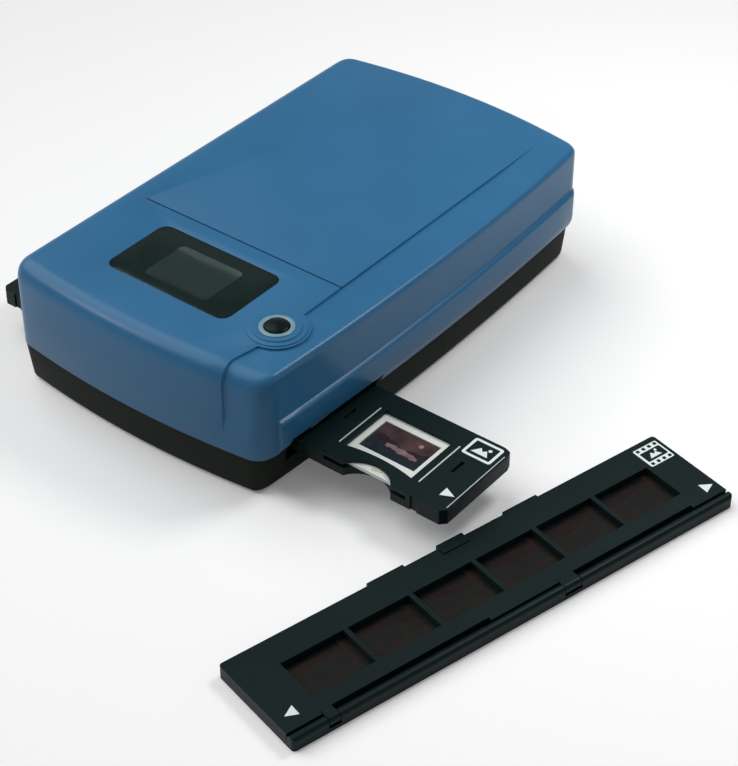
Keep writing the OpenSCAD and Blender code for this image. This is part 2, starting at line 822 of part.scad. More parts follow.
frame_x = body_w / 2 - 14.5;
upright_t = 3;
upright_y0 = slot_y0 + 2;
upright_y1 = rear_y - 68.5;
rod_z = plate_z + plate_t + 11.5;
front_rod_y = slot_y0 + 10;
rear_rod_y = rear_y - 103.5;
screw_axis_y = rear_rod_y + 18;
rod_l = 2 * frame_x;
motor_r = 9;
motor_h = 17;
ear_r = 3;
ear_out = 3.5;

module mechanism_frame() {
    window_half = 26;
    color("#8f9798") in_case() difference() {
        union() {
            translate([-frame_x, upright_y0, plate_z]) cube([2 * frame_x, upright_y1 - upright_y0, plate_t]);
            for (p = post_places) translate([p[0], p[1], plate_z]) cylinder(r = post_r + 1.5, h = plate_t);
            for (sx = [-1, 1]) block([2 * post_r + 3, upright_y0 - slot_y0 + 5, plate_t],
                [sx * front_post_x, (upright_y0 + slot_y0 - 3) / 2, plate_z]);
            for (sx = [-1, 1]) translate([sx * (frame_x - upright_t / 2), 0, plate_z]) {
                translate([-upright_t / 2, upright_y0, 0]) cube([upright_t, 20, rod_z + 6 - plate_z]);
                translate([-upright_t / 2, rear_rod_y - 9, 0])
                    cube([upright_t, upright_y1 - rear_rod_y + 9, rod_z + 6 - plate_z]);
            }
        }
        // light window over the film
        translate([optic_x - window_half, holder_y - 17, plate_z - bite])
            cube([2 * window_half, 34, plate_t + 2 * bite]);
        // opening under the optics and the hole for the pinion's shaft
        translate([-frame_x + 12, holder_y + 28, plate_z - bite]) cube([34, 66, plate_t + 2 * bite]);
        translate([pinion_x, pinion_y, plate_z - bite]) cylinder(r = 4, h = 10);
        translate([gear_x, gear_y, plate_z - bite]) cylinder(r = shaft_r + 0.02, h = 10);
        for (y = [front_rod_y, rear_rod_y]) rod_x(rod_r + 0.02, 4 * frame_x, [-2 * frame_x, y, rod_z]);
        rod_x(rod_r + shaft_play, frame_x + 10, [-frame_x - 10, screw_axis_y, rod_z]);
    }
}

bed_side = 4;
lip_over = 1.6;
aperture_l = 44;
aperture_h = 34;
track_x = body_w / 2 - 6.5;
module holder_track() {
    half = holder_w / 2 + slide_gap;
    rail_h = holder_t + 2.6;
    color("#2c3131") in_case() difference() {
        union() {
            translate([-track_x, holder_y - half - bed_side, bed_z])
                cube([2 * track_x, 2 * (half + bed_side), bed_t]);
            for (s = [-1, 1]) translate([0, holder_y + s * (half + bed_side / 2), 0]) {
                translate([-track_x, -bed_side / 2, bed_z])
                    cube([2 * track_x, bed_side, bed_t + rail_h - 0.01]);
                // lips that keep the holder down
                translate([-track_x, -bed_side / 2 - (s > 0 ? lip_over : 0), holder_z + holder_t + slide_gap])
                    cube([2 * track_x, bed_side + lip_over, 1.7]);
            }
            // legs that stand on the floor of the base
            for (x = [-track_x + 6, track_x - 6], y = [holder_y - half - 1, holder_y + half + 1])
                translate([x, y, floor_z]) cylinder(r = 2.8, h = lamp_room + 0.5, $fn = 48);
        }
        // light aperture with a seat for the diffuser
        translate([optic_x - aperture_l / 2, holder_y - aperture_h / 2, bed_z - bite])
            cube([aperture_l, aperture_h, bed_t + 2 * bite]);
        // gap in the rear rail for the feed gear
        translate([gear_x - wheel_tip_r - 1, holder_y + half - lip_over - 1, bed_z + bed_t])
            cube([2 * (wheel_tip_r + 1), 30, 30]);
        translate([gear_x, gear_y, bed_z - bite]) cylinder(r = gear_boss_r + seat_gap, h = 30);
    }
}

lamp_t = 1.2;
module lamp_board() {
    color(colour_board) in_case() {
        translate([optic_x, holder_y, floor_z]) {
            block([aperture_l, aperture_h, lamp_t], [0, 0, 0]);
            color(colour_white) for (i = [-2:2], j = [-1:1])
                block([2.2, 2.2, 0.7], [8 * i, 9 * j, lamp_t - 0.01]);
        }
    }
}

module lamp_diffuser() {
    l = aperture_l - 2 * seat_gap;
    w = aperture_h - 2 * seat_gap;
    color(colour_white) in_case() translate([optic_x, holder_y, floor_z + lamp_t]) {
        block([l, w, 1.8], [0, 0, lamp_room - lamp_t + 0.6]);
        // skirt that stands on the lamp board
        difference() {
            block([l, w, lamp_room - lamp_t + 0.7], [0, 0, 0]);
            block([aperture_l - 3, aperture_h - 3, 20], [0, 0, -bite]);
        }
    }
}

// ---------- gears ----------

pressure_angle = 20;

// Involute of the base circle at the pressure angle a, in degrees
function involute(a) = tan(a) * 180 / PI - a;

// Half the angle that a tooth takes at radius r
function tooth_half(m, n, r) =
    let (base_r = m * n / 2 * cos(pressure_angle))
    90 / n - backlash / (m * n) * 90 / PI
    + involute(pressure_angle) - (r > base_r ? involute(acos(base_r / r)) : 0);

function polar(r, a) = [r * cos(a), r * sin(a)];

flank_steps = 4;
function gear_profile(m, n) =
    let (
        pitch_r = m * n / 2,
        tip_r = pitch_r + m,
        root_r = pitch_r - 1.25 * m,
        start_r = max(root_r, pitch_r * cos(pressure_angle)),
        radii = concat(
            root_r < start_r ? [root_r] : [],
            [for (k = [0:flank_steps]) start_r + (tip_r - start_r) * k / flank_steps]
        )
    )
    [for (tooth = [0:n - 1]) let (mid = 360 * tooth / n) each concat(
        [for (r = radii) polar(r, mid - tooth_half(m, n, r))],
        [for (k = [len(radii) - 1:-1:0]) polar(radii[k], mid + tooth_half(m, n, radii[k]))]
    )];

module gear(m, n, h) {
    linear_extrude(h) polygon(gear_profile(m, n));
}

// Rack along X with its tips at y = 0 and its roots towards -Y; a gap is centred at x = 0
module rack_gaps(m, x0, x1, h) {
    p = PI * m;
    tan_a = tan(pressure_angle);
    tip_half = p / 4 + backlash / 4 + m * tan_a;
    root_half = p / 4 + backlash / 4 - 1.25 * m * tan_a;
    for (k = [ceil(x0 / p) + 1:floor(x1 / p) - 1])
        translate([k * p, 0, 0]) linear_extrude(h)
            polygon([
                [-root_half, -2.25 * m], [root_half, -2.25 * m], [tip_half, 0],
                [tip_half, bite], [-tip_half, bite], [-tip_half, 0]
            ]);
}

rack_h = 4.2;
rack_y = holder_y + holder_w / 2;
gear_pitch_r = rack_module * rack_gear_teeth / 2;
gear_x = holder_x + 4;
gear_y = rack_y - rack_module + gear_pitch_r;
gear_z0 = holder_z + 0.2;
gear_boss_r = 4;
shaft_r = 2;
shaft_z0 = floor_z + 0.6;
wheel_z = slot_z1 - 3;
wheel_h = 2.6;
wheel_tip_r = drive_module * (wheel_teeth / 2 + 1);
drive_centres = drive_module * (wheel_teeth + pinion_teeth) / 2;
pinion_turn = 42;
pinion_x = gear_x + drive_centres * cos(pinion_turn);
pinion_y = gear_y + drive_centres * sin(pinion_turn);

module feed_gear() {
    color(colour_white) in_case() translate([gear_x, gear_y, 0]) difference() {
        union() {
            // a tooth points at the rack
            translate([0, 0, gear_z0]) rotate(-90) gear(rack_module, rack_gear_teeth, rack_h - 0.4);
            translate([0, 0, gear_z0]) cylinder(r = 5, h = wheel_z + wheel_h - gear_z0);
            // a gap points at the motor pinion
            translate([0, 0, wheel_z]) rotate(pinion_turn + 180 / wheel_teeth)
                gear(drive_module, wheel_teeth, wheel_h);
        }
        translate([0, 0, gear_z0 - bite]) cylinder(r = shaft_r + shaft_play, h = 40);
    }
}

module feed_shaft() {
    color(colour_steel) in_case() translate([gear_x, gear_y, shaft_z0])
        cylinder(r = shaft_r, h = plate_z + plate_t - shaft_z0);
}

pinion_shaft_r = 1.2;
module feed_pinion() {
    color(colour_brass) in_case() translate([pinion_x, pinion_y, 0]) {
        translate([0, 0, wheel_z]) rotate(pinion_turn + 180) gear(drive_module, pinion_teeth, wheel_h);
        translate([0, 0, wheel_z]) cylinder(r = pinion_shaft_r, h = plate_z + plate_t + 8 - wheel_z);
    }
}

// Can motor that stands on its mounting face, with an ear along X at each side
module stepper(h) {
    cylinder(r = motor_r, h = h);
    linear_extrude(1) difference() {
        union() {
            square([2 * (motor_r + ear_out), 2 * ear_r], center = true);
            for (s = [-1, 1]) translate([s * (motor_r + ear_out), 0]) circle(ear_r);
        }
        for (s = [-1, 1]) translate([s * (motor_r + ear_out), 0]) circle(1.3, $fn = 48);
    }
}

module feed_motor() {
    color(colour_steel) in_case() translate([pinion_x, pinion_y, plate_z + plate_t]) difference() {
        rotate(90) stepper(14);
        translate([0, 0, -bite]) cylinder(r = pinion_shaft_r + shaft_play, h = 10 + bite);
    }
}

// ---------- optics ----------

module guide_rods() {
    color(colour_steel) in_case() for (y = [front_rod_y, rear_rod_y])
        rod_x(rod_r, rod_l, [-frame_x, y, rod_z]);
}

scan_motor_x = frame_x - upright_t - motor_h;
motor_end_r = rod_r - 0.5;
module lead_screw() {
    color(colour_steel) in_case() {
        rod_x(rod_r, scan_motor_x - 2 + frame_x, [-frame_x, screw_axis_y, rod_z]);
        rod_x(motor_end_r, 8, [scan_motor_x - 3, screw_axis_y, rod_z]);
        // collar that keeps the screw in its bearing
        rod_x(rod_r + 1.5, 2, [-frame_x + upright_t + 0.2, screw_axis_y, rod_z]);
    }
}

module scan_motor() {
    color(colour_steel) in_case() translate([scan_motor_x, screw_axis_y, rod_z]) rotate([0, 90, 0])
    difference() {
        translate([0, 0, motor_h]) rotate([180, 0, 90]) stepper(motor_h);
        translate([0, 0, -bite]) cylinder(r = motor_end_r + shaft_play, h = 6 + bite);
    }
}

carriage_half = 19;
carriage_z = plate_z + plate_t + 2.5;
carriage_t = 2;
carriage_y0 = front_rod_y + 6;
carriage_y1 = rear_rod_y - 6;
optic_room = front_board_z - carriage_z - carriage_t;
optic_z = carriage_z + carriage_t + optic_room / 2 + 1;
carriage_h = carriage_t + optic_room - 1;
bush_r = 4.5;
nut_side = 10;
arm_z = rod_z - bush_r - carriage_t;
arm_t = carriage_t + 0.6;
flag_l = 9;
flag_y = holder_y + 18;
lens_wall_t = 8;
light_slit = [8, 28, 10];

module carriage() {
    w = 2 * carriage_half;
    color("#2c3131") in_case() translate([optic_x, 0, 0]) difference() {
        union() {
            translate([-carriage_half, carriage_y0, carriage_z])
                cube([w, carriage_y1 - carriage_y0, carriage_h]);
            rod_x(bush_r, w, [-carriage_half, front_rod_y, rod_z]);
            translate([-carriage_half, front_rod_y, rod_z - bush_r])
                cube([w, carriage_y0 - front_rod_y + bite, bush_r * 2]);
            // arm behind the box for the rear rod and the nut
            rod_x(bush_r, w, [-carriage_half, rear_rod_y, rod_z]);
            translate([-carriage_half, carriage_y1 - bite, arm_z])
                cube([w, screw_axis_y + nut_side / 2 + 2 - carriage_y1 + bite, arm_t]);
            // flag for the home sensor
            translate([-carriage_half - flag_l, flag_y - 0.6, plate_z + plate_t + 5])
                cube([flag_l + bite, 1.2, 5]);
        }
        // open box, with the lens wall left standing
        difference() {
            translate([-carriage_half + carriage_t, carriage_y0 + carriage_t, carriage_z + carriage_t])
                cube([w - 2 * carriage_t, carriage_y1 - carriage_y0 - 2 * carriage_t, carriage_h]);
            translate([-carriage_half, lens_y0 + 6, carriage_z])
                cube([w, lens_wall_t, optic_z + barrel_r * 0.4 - carriage_z]);
            mirror_seats();
        }
        rod_y(barrel_r + seat_gap, barrel_l + 10, [0, lens_y0 - 5, optic_z]);
        // slit for the light under the mirror
        block(light_slit, [0, holder_y, carriage_z - bite]);
        for (y = [front_rod_y, rear_rod_y]) rod_x(rod_r + shaft_play, 3 * w, [-1.5 * w, y, rod_z]);
    }
}

module carriage_nut() {
    color(colour_brass) in_case() difference() {
        block([12, nut_side, rod_z + 4 - arm_z - arm_t], [optic_x, screw_axis_y, arm_z + arm_t]);
        rod_x(rod_r + shaft_play, 20, [optic_x - 10, screw_axis_y, rod_z]);
    }
}

mirror_l = optic_room + 1;
mirror_w = 20;
mirror_t = 2;

// Frame of the mirror: its glass face looks down and to the rear
module mirror_frame() {
    translate([0, holder_y, optic_z]) rotate([-45, 0, 0]) children();
}

module mirror_seats() {
    for (s = [-1, 1]) mirror_frame()
        translate([s * (mirror_w / 2 + 2) - 5, -mirror_t - 3, -8]) cube([10, 3, 16]);
}

module mirror() {
    color("#cfd6da") in_case() translate([optic_x, 0, 0]) mirror_frame()
        translate([-mirror_w / 2, -mirror_t, -mirror_l / 2]) cube([mirror_w, mirror_t - 0.01, mirror_l]);
}

lens_y0 = holder_y + 39;
barrel_l = 24;
barrel_wall = 1.4;
module lens_barrel() {
    color("#2f3437") in_case() translate([optic_x, lens_y0, optic_z]) rotate([-90, 0, 0]) rotate_extrude()
    difference() {
        translate([barrel_r - barrel_wall, 0]) square([barrel_wall, barrel_l]);
        // focusing grooves
        for (k = [0:3]) translate([barrel_r - 0.4, 2 + 1.6 * k]) square([1, 0.7]);
    }
}

module lens(at_y) {
    r = barrel_r - barrel_wall - seat_gap;
    curve = 18;
    sag = curve - sqrt(curve * curve - r * r);
    color([0.7, 0.85, 0.9, 0.5]) in_case() translate([optic_x, at_y, optic_z]) rotate([-90, 0, 0])
    intersection() {
        cylinder(r = r, h = 2 * sag + 2);
        translate([0, 0, curve]) sphere(curve);
        translate([0, 0, 2 * sag + 2 - curve]) sphere(curve);
    }
}

module lens_front() {
    lens(lens_y0 + 2);
}

module lens_rear() {
    lens(lens_y0 + barrel_l - 8);
}

sensor_t = 2.4;
module sensor_board() {
    w = 2 * (carriage_half - carriage_t - seat_gap);
    h = carriage_h - carriage_t - 1;
    color(colour_board) in_case()
        translate([optic_x - w / 2, carriage_y1 - carriage_t - board_t, carriage_z + carriage_t])
            cube([w, board_t, h]);
}

module line_sensor() {
    y = carriage_y1 - carriage_t - board_t;
    color("#3a3c40") in_case() translate([optic_x, y, optic_z]) difference() {
        translate([-5, -sensor_t, -8.5]) cube([10, sensor_t, 17]);
        translate([-1, -sensor_t - bite, -7]) cube([2, bite + 0.5, 14]);
    }
}

// Fork that sees the carriage's flag come home
module home_sensor() {
    x = optic_x - carriage_half - scan_travel - flag_l + 3;
    color("#202322") in_case() translate([x, flag_y, plate_z + plate_t])
        difference() {
            translate([-7, -6, 0]) cube([7, 12, 11]);
            translate([-8, -1.8, 3.5]) cube([9, 3.6, 10]);
        }
}

// ---------- slide holder ----------

slide_lid_t = 2;
slide_base_t = holder_t - slide_lid_t;
slot_len = mount_side + 0.6;
near_corner = 3;
far_corner = 5;
thumb_r = 17;
thumb_back = 8.5;
view_l = 41.5;
view_h = 34;

module in_slide_holder() {
    in_case() translate([holder_x, holder_y, holder_z]) children();
}

module at_slides() {
    for (k = [-1.5:1:1.5]) translate([k * slide_pitch, 0, 0]) children();
}

// Plan of the slide holder, with its cut corners at the right end and a tapered left end
module slide_plan() {
    l = holder_l / 2;
    w = holder_w / 2;
    polygon([
        [-l, -w + near_corner], [-l + near_corner, -w], [l - near_corner, -w], [l, -w + near_corner],
        [l, w - far_corner], [l - 1.3, w - 1.3], [l - far_corner, w],
        [-l + near_corner, w], [-l, w - near_corner]
    ]);
}

// The round cut that bares the near edge of a mount, and the small nicks beside it
module thumb_cuts() {
    at_slides() {
        translate([1.6, -holder_w / 2 - thumb_back]) circle(thumb_r);
        for (s = [-1, 1]) translate([s * slide_pitch / 2 - 5.5, -holder_w / 2 - 1]) square([4, 1.8]);
    }
}

module slide_holder_base() {
    color(colour_holder) in_slide_holder() difference() {
        linear_extrude(slide_base_t) difference() {
            slide_plan();
            thumb_cuts();
        }
        // pockets that the mounts slide into from the near edge
        at_slides() {
            translate([-slot_len / 2, -holder_w / 2 - bite, slide_base_t - mount_t - 0.3])
                cube([slot_len, holder_w / 2 + bite + mount_side / 2 + 0.3, mount_t + 0.3 + bite]);
            translate([0, 0, -bite]) linear_extrude(20) square([slide_l + 4, slide_h + 4], center = true);
        }
        // rack along the far edge, under the cover plate
        translate([-holder_x + gear_x, holder_w / 2, -bite]) rack_gaps(
            rack_module, holder_x - gear_x - holder_l / 2, holder_x - gear_x + holder_l / 2, rack_h + bite);
    }
}

module slide_holder_cover() {
    view_curve = 89;
    sag = 2.4;
    color(colour_holder) in_slide_holder() translate([0, 0, slide_base_t]) linear_extrude(slide_lid_t)
    difference() {
        slide_plan();
        thumb_cuts();
        at_slides() {
            // window whose near edge bows towards the picture
            difference() {
                translate([-view_l / 2, -view_h / 2 - 1]) square([view_l, view_h]);
                translate([0, -view_h / 2 - 1 + sag - view_curve]) circle(view_curve, $fn = 360);
            }
        }
        // index holes between the pockets
        for (k = [-2:2]) translate([k * slide_pitch - 1, 2.5 - 4.7]) square([2, 9.4]);
    }
}

module slide_mounts() {
    color(colour_white) in_slide_holder() at_slides() translate([0, 0, slide_base_t - mount_t - 0.15])
    difference() {
        linear_extrude(mount_t) rounded(mount_side, mount_side, 2);
        translate([0, 0, -bite]) linear_extrude(10) square([slide_l, slide_h], center = true);
        block([slide_l + 3, slide_h + 3, 0.4], [0, 0, mount_t / 2 - 0.2]);
    }
}

module slide_films() {
    color("#4a2626") in_slide_holder() at_slides()
        block([slide_l + 2.6, slide_h + 2.6, 0.2], [0, 0, slide_base_t - mount_t - 0.15 + mount_t / 2 - 0.1]);
}

// ---------- strip holder ----------

hinge_r = 2.5;
hinge_y = -holder_w / 2 + hinge_r;
hinge_z = strip_t - hinge_r;
strip_base_t = 4;
lid_gap = 0.3;
lid_y0 = hinge_y + hinge_r + lid_gap;
knuckle_gap = 0.4;
hinge_sections = [[-114, -17, 6], [24, 112, 10]]; // start, end, length of the knuckle at the start
pin_r = 0.8;
pin_in = 4;
film_room = 0.4;
film_l = frames * frame_pitch;
tab_l = 21.5;
tab_out = 1.6;
tab_places = [-38, 45.5];
latch_x = 1;
latch_w = 16;
frames_x = 1.3;

module at_frames() {
    for (k = [0:frames - 1]) translate([frames_x + (k - (frames - 1) / 2) * frame_pitch, 0, 0]) children();
}

// Cylinder along X about the hinge axis
module hinge_rod(r, x0, x1) {
    rod_x(r, x1 - x0, [x0, hinge_y, hinge_z]);
}

module strip_holder_base() {
    l = strip_l / 2;
    w = holder_w / 2;
    color(colour_holder) in_strip() difference() {
        union() {
            linear_extrude(strip_base_t) rounded(strip_l, holder_w, 2);
            // rounded rail along the near edge
            intersection() {
                union() {
                    hinge_rod(hinge_r, -l, l);
                    translate([-l, -w, 0]) cube([strip_l, 2 * hinge_r, hinge_z]);
                }
                linear_extrude(20) rounded(strip_l, holder_w, 2);
            }
        }
        at_frames() block([frame_l, frame_h, 20], [0, 0, -bite]);
        // channel for the film
        block([film_l + 2, film_w + 2 * seat_gap, film_room + bite], [frames_x, 0, strip_base_t - film_room]);
        // room for the lid's knuckles
        for (s = hinge_sections) {
            translate([s[0] - knuckle_gap, -w - bite, hinge_z - hinge_r - slide_gap])
                cube([s[2] + 2 * knuckle_gap, bite + 2 * hinge_r + lid_gap, 20]);
            hinge_rod(pin_r + 0.02, s[0] - pin_in, s[0] + s[2] + pin_in);
        }
        // catch for the latch
        block([8, 1.6, 1.6 + bite], [latch_x, w - 2.6, strip_base_t - 1.6]);
    }
}

module strip_hinge_pins() {
    color(colour_steel) in_strip() for (s = hinge_sections)
        hinge_rod(pin_r, s[0] - pin_in, s[0] + s[2] + pin_in);
}

groove_back = 2;
module strip_holder_lid() {
    l = strip_l / 2;
    w = holder_w / 2;
    lid_z = strip_base_t + seat_gap;
    color(colour_holder) in_strip() difference() {
        union() {
            translate([0, 0, lid_z]) intersection() {
                linear_extrude(strip_t - lid_z) union() {
                    rounded(strip_l, holder_w, 2);
                    for (x = tab_places) translate([x - tab_l / 2, 0]) square([tab_l, w + tab_out]);
                }
                translate([-l, lid_y0, 0]) cube([strip_l, holder_w, 20]);
            }
        }
        at_frames() block([frame_l, frame_h, 20], [0, 0, 0]);
        // wider groove beside the hinge rail
        for (s = hinge_sections) translate([s[0] - knuckle_gap, lid_y0 - bite, 0])
            cube([s[1] - s[0], groove_back + bite, 20]);
        // seat of the latch
        block([latch_w + 2 * seat_gap, 5 + bite, 20], [latch_x, w - (5 - bite) / 2, 0]);
    }
    // knuckles that turn on the pins
    color(colour_holder) in_strip() for (s = hinge_sections) difference() {
        union() {
            hinge_rod(hinge_r, s[0], s[0] + s[2]);
            translate([s[0], hinge_y, strip_base_t + seat_gap])
                cube([s[2], lid_y0 - hinge_y + groove_back + bite, strip_t - strip_base_t - seat_gap]);
        }
        hinge_rod(pin_r + shaft_play, s[0] - bite, s[0] + s[2] + bite);
    }
}

module strip_latch() {
    w = holder_w / 2;
    lid_z = strip_base_t + seat_gap;
    color(colour_holder) in_strip() translate([latch_x, 0, 0]) {
        translate([-latch_w / 2, w - 5 + seat_gap, lid_z])
            cube([latch_w, 5 + tab_out - seat_gap, strip_t - lid_z + 0.8]);
        // hook that drops into the base
        block([7, 1, 1.3], [0, w - 2.6, strip_base_t - 1.2]);
    }
}

hole_pitch = 4.75;
module film_strip() {
    color("#3a1f14") in_strip() difference() {
        block([film_l, film_w, 0.2], [frames_x, 0, strip_base_t - film_room + 0.05]);
        // sprocket holes
        for (k = [0:1:film_l / hole_pitch - 2], s = [-1, 1])
            translate([frames_x - film_l / 2 + hole_pitch * (k + 1), s * (film_w / 2 - 3.4), 0])
                block([2, 2.8, strip_t], [0, 0, 0]);
    }
}

base_tub();
top_cover();
rubber_feet();
case_screws();
display_window();
display_module();
front_board();
button_ring();
scan_button();
button_spring();
main_board();
usb_socket();
power_jack();
switch_frame();
power_rocker();
mechanism_frame();
holder_track();
lamp_board();
lamp_diffuser();
feed_gear();
feed_shaft();
feed_pinion();
feed_motor();
guide_rods();
lead_screw();
scan_motor();
carriage();
carriage_nut();
mirror();
lens_barrel();
lens_front();
lens_rear();
sensor_board();
line_sensor();
home_sensor();
slide_holder_base();
slide_holder_cover();
slide_mounts();
slide_films();
strip_holder_base();
strip_holder_lid();
strip_hinge_pins();
strip_latch();
film_strip();
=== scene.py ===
"""The looks of a film negative scanner, its slide holder and its strip holder."""

import math
import random

import bpy
from mathutils import Matrix, Vector


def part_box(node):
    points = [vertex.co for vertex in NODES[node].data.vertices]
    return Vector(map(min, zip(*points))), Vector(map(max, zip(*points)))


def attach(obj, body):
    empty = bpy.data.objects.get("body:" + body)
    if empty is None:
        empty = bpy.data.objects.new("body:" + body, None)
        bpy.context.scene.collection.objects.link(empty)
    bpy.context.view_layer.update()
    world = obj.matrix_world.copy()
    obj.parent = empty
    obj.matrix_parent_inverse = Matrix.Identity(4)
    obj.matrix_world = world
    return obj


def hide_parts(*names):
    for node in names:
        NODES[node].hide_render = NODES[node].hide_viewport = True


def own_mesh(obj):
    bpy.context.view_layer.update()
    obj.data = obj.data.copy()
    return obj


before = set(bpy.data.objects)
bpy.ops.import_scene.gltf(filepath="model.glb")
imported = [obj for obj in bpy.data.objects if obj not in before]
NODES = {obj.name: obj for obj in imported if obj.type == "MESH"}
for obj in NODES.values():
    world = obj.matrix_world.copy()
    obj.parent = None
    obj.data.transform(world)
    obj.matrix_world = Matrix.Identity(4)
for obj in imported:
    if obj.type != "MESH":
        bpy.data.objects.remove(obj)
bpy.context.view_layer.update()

MM = 0.001


# ---------- places in millimetres; those of the parts come from model.glb ----------

STRIP_TURN = math.radians(75.4)       # how the strip holder lies on the table
MOUNT_SIDE = 50.0                     # a slide mount is square
SLIDE_COUNT = 4
FRAME_COUNT = 6
FRAME_PITCH = 38.0                    # from one picture of the film to the next
FRAMES_X = 1.3                        # middle of the pictures, from the strip holder's middle


def top(node):
    """The height of a node's highest point."""
    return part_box(node)[1].z / MM


def from_middle(node, turn=0.0):
    """Maker of points in the row frame: along and across a node from its middle, and at a height."""
    low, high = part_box(node)
    turned = Matrix.Rotation(turn, 4, "Z")

    def point(x, y, z):
        offset = turned @ Vector((x, y, 0.0)) * MM
        return Vector(((low.x + high.x) / 2 + offset.x, (low.y + high.y) / 2 + offset.y, z * MM))
    return point


def spread_out(count, pitch):
    """Places for a number of things, one pitch apart, about a middle."""
    return [pitch * (k - (count - 1) / 2) for k in range(count)]


on_window = from_middle("display_window")
on_holder = from_middle("slide_holder_cover")
on_strip = from_middle("strip_holder_base", STRIP_TURN)

WINDOW_TOP = top("display_window")
HOLDER_TOP = top("slide_holder_cover")
MOUNT_TOP = top("slide_mounts")
SLIDE_FILM_TOP = top("slide_films")
STRIP_TOP = top("strip_holder_lid")
NEGATIVE_TOP = top("film_strip")

mounts_low, mounts_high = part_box("slide_mounts")
SLIDE_PITCH = ((mounts_high.x - mounts_low.x) / MM - MOUNT_SIDE) / (SLIDE_COUNT - 1)
SLIDES = spread_out(SLIDE_COUNT, SLIDE_PITCH)
FRAMES = [FRAMES_X + x for x in spread_out(FRAME_COUNT, FRAME_PITCH)]


# ---------- colours, nodes and materials ----------

def linear(hex_colour):
    """An sRGB hex colour as linear RGBA."""
    channels = [int(hex_colour[i:i + 2], 16) / 255 for i in (1, 3, 5)]
    return tuple(c / 12.92 if c <= 0.04045 else ((c + 0.055) / 1.055) ** 2.4 for c in channels) + (1.0,)


def connect(tree, node, inputs):
    """Gives a node's inputs a value or another node's output."""
    for name, value in inputs.items():
        if isinstance(value, bpy.types.NodeSocket):
            tree.links.new(value, node.inputs[name])
        else:
            node.inputs[name].default_value = value


def add(tree, kind, inputs, stops=(), **settings):
    """Adds a shader node with its settings, the stops of its ramp if it has one, and its inputs."""
    node = tree.nodes.new("ShaderNode" + kind)
    for name, value in settings.items():
        setattr(node, name, value)
    for k, (position, colour) in enumerate(stops):
        node.color_ramp.elements[k].position = position
        node.color_ramp.elements[k].color = linear(colour)
    connect(tree, node, inputs)
    return node


def new_finish(name, colour, roughness, **sockets):
    """A material with plain values; returns it, its tree, its shader and its texture coordinates."""
    material = bpy.data.materials.new(name)
    material.use_nodes = True
    tree = material.node_tree
    shader = tree.nodes["Principled BSDF"]
    shader.inputs["Base Color"].default_value = linear(colour)
    shader.inputs["Roughness"].default_value = roughness
    for socket, value in sockets.items():
        shader.inputs[socket.replace("_", " ")].default_value = value
    return material, tree, shader, add(tree, "TexCoord", {}).outputs


def per_mm(size):
    """Texture scale for a pattern whose features are about size millimetres across."""
    return 1.0 / (size * MM)


def moulded_plastic(name, dark, light, roughness, grain, depth, specular=0.5, spread=0.06):
    """Moulded plastic: a fine spark-eroded grain from the tool, and a faint drift of tone and gloss."""
    material, tree, shader, places = new_finish(name, light, roughness, Specular_IOR_Level=specular, IOR=1.53)
    here = places["Object"]
    drift = add(tree, "TexNoise", {"Vector": here, "Scale": per_mm(45.0), "Detail": 1.0}).outputs["Fac"]
    grit = add(tree, "TexNoise", {"Vector": here, "Scale": per_mm(grain), "Detail": 2.0}).outputs["Fac"]
    tone = add(tree, "ValToRGB", {"Fac": drift}, ((0.0, dark), (1.0, light)))
    gloss = add(tree, "MapRange", {
        "Value": drift, "To Min": roughness - spread, "To Max": roughness + spread})
    relief = add(tree, "Bump", {"Height": grit, "Distance": depth * MM})
    connect(tree, shader, {
        "Base Color": tone.outputs["Color"], "Roughness": gloss.outputs["Result"],
        "Normal": relief.outputs["Normal"]})
    return material


def worked_metal(name, colour, roughness, grain, along=(0.06, 1.0, 1.0)):
    """Drawn, turned or rolled metal: fine lines along the way it was worked, which spread its shine."""
    material, tree, shader, places = new_finish(name, colour, roughness, Metallic=1.0)
    stretched = add(tree, "Mapping", {"Vector": places["Object"], "Scale": along}).outputs["Vector"]
    lines = add(tree, "TexNoise", {"Vector": stretched, "Scale": per_mm(grain), "Detail": 4.0}).outputs["Fac"]
    gloss = add(tree, "MapRange", {"Value": lines, "To Min": roughness - 0.08, "To Max": roughness + 0.12})
    relief = add(tree, "Bump", {"Height": lines, "Distance": 0.01 * MM})
    connect(tree, shader, {"Roughness": gloss.outputs["Result"], "Normal": relief.outputs["Normal"]})
    return material


def silver_coat():
    """Satin silver lacquer of the ring: fine metal flakes under a dull clear coat."""
    material, tree, shader, places = new_finish("silver_lacquer", "#7ba0ae", 0.4, Metallic=0.35)
    flakes = add(tree, "TexNoise", {"Vector": places["Object"], "Scale": per_mm(0.25), "Detail": 1.0})
    tone = add(tree, "ValToRGB", {"Fac": flakes.outputs["Fac"]}, ((0.3, "#7095a4"), (0.7, "#8bb0bd")))
    relief = add(tree, "Bump", {"Height": flakes.outputs["Fac"], "Distance": 0.002 * MM})
    connect(tree, shader, {"Base Color": tone.outputs["Color"], "Normal": relief.outputs["Normal"]})
    return material


def smoked_acrylic():
    """Smoked cast acrylic over the black print; its anti-glare coat counts as a lower index."""
    material, tree, shader, places = new_finish(
        "smoked_acrylic", "#c4d6d2", 0.08, Transmission_Weight=1.0, IOR=1.3)
    waves = add(tree, "TexNoise", {"Vector": places["Object"], "Scale": per_mm(20.0), "Detail": 1.0})
    relief = add(tree, "Bump", {"Height": waves.outputs["Fac"], "Distance": 0.01 * MM})
    connect(tree, shader, {"Normal": relief.outputs["Normal"]})
    return material


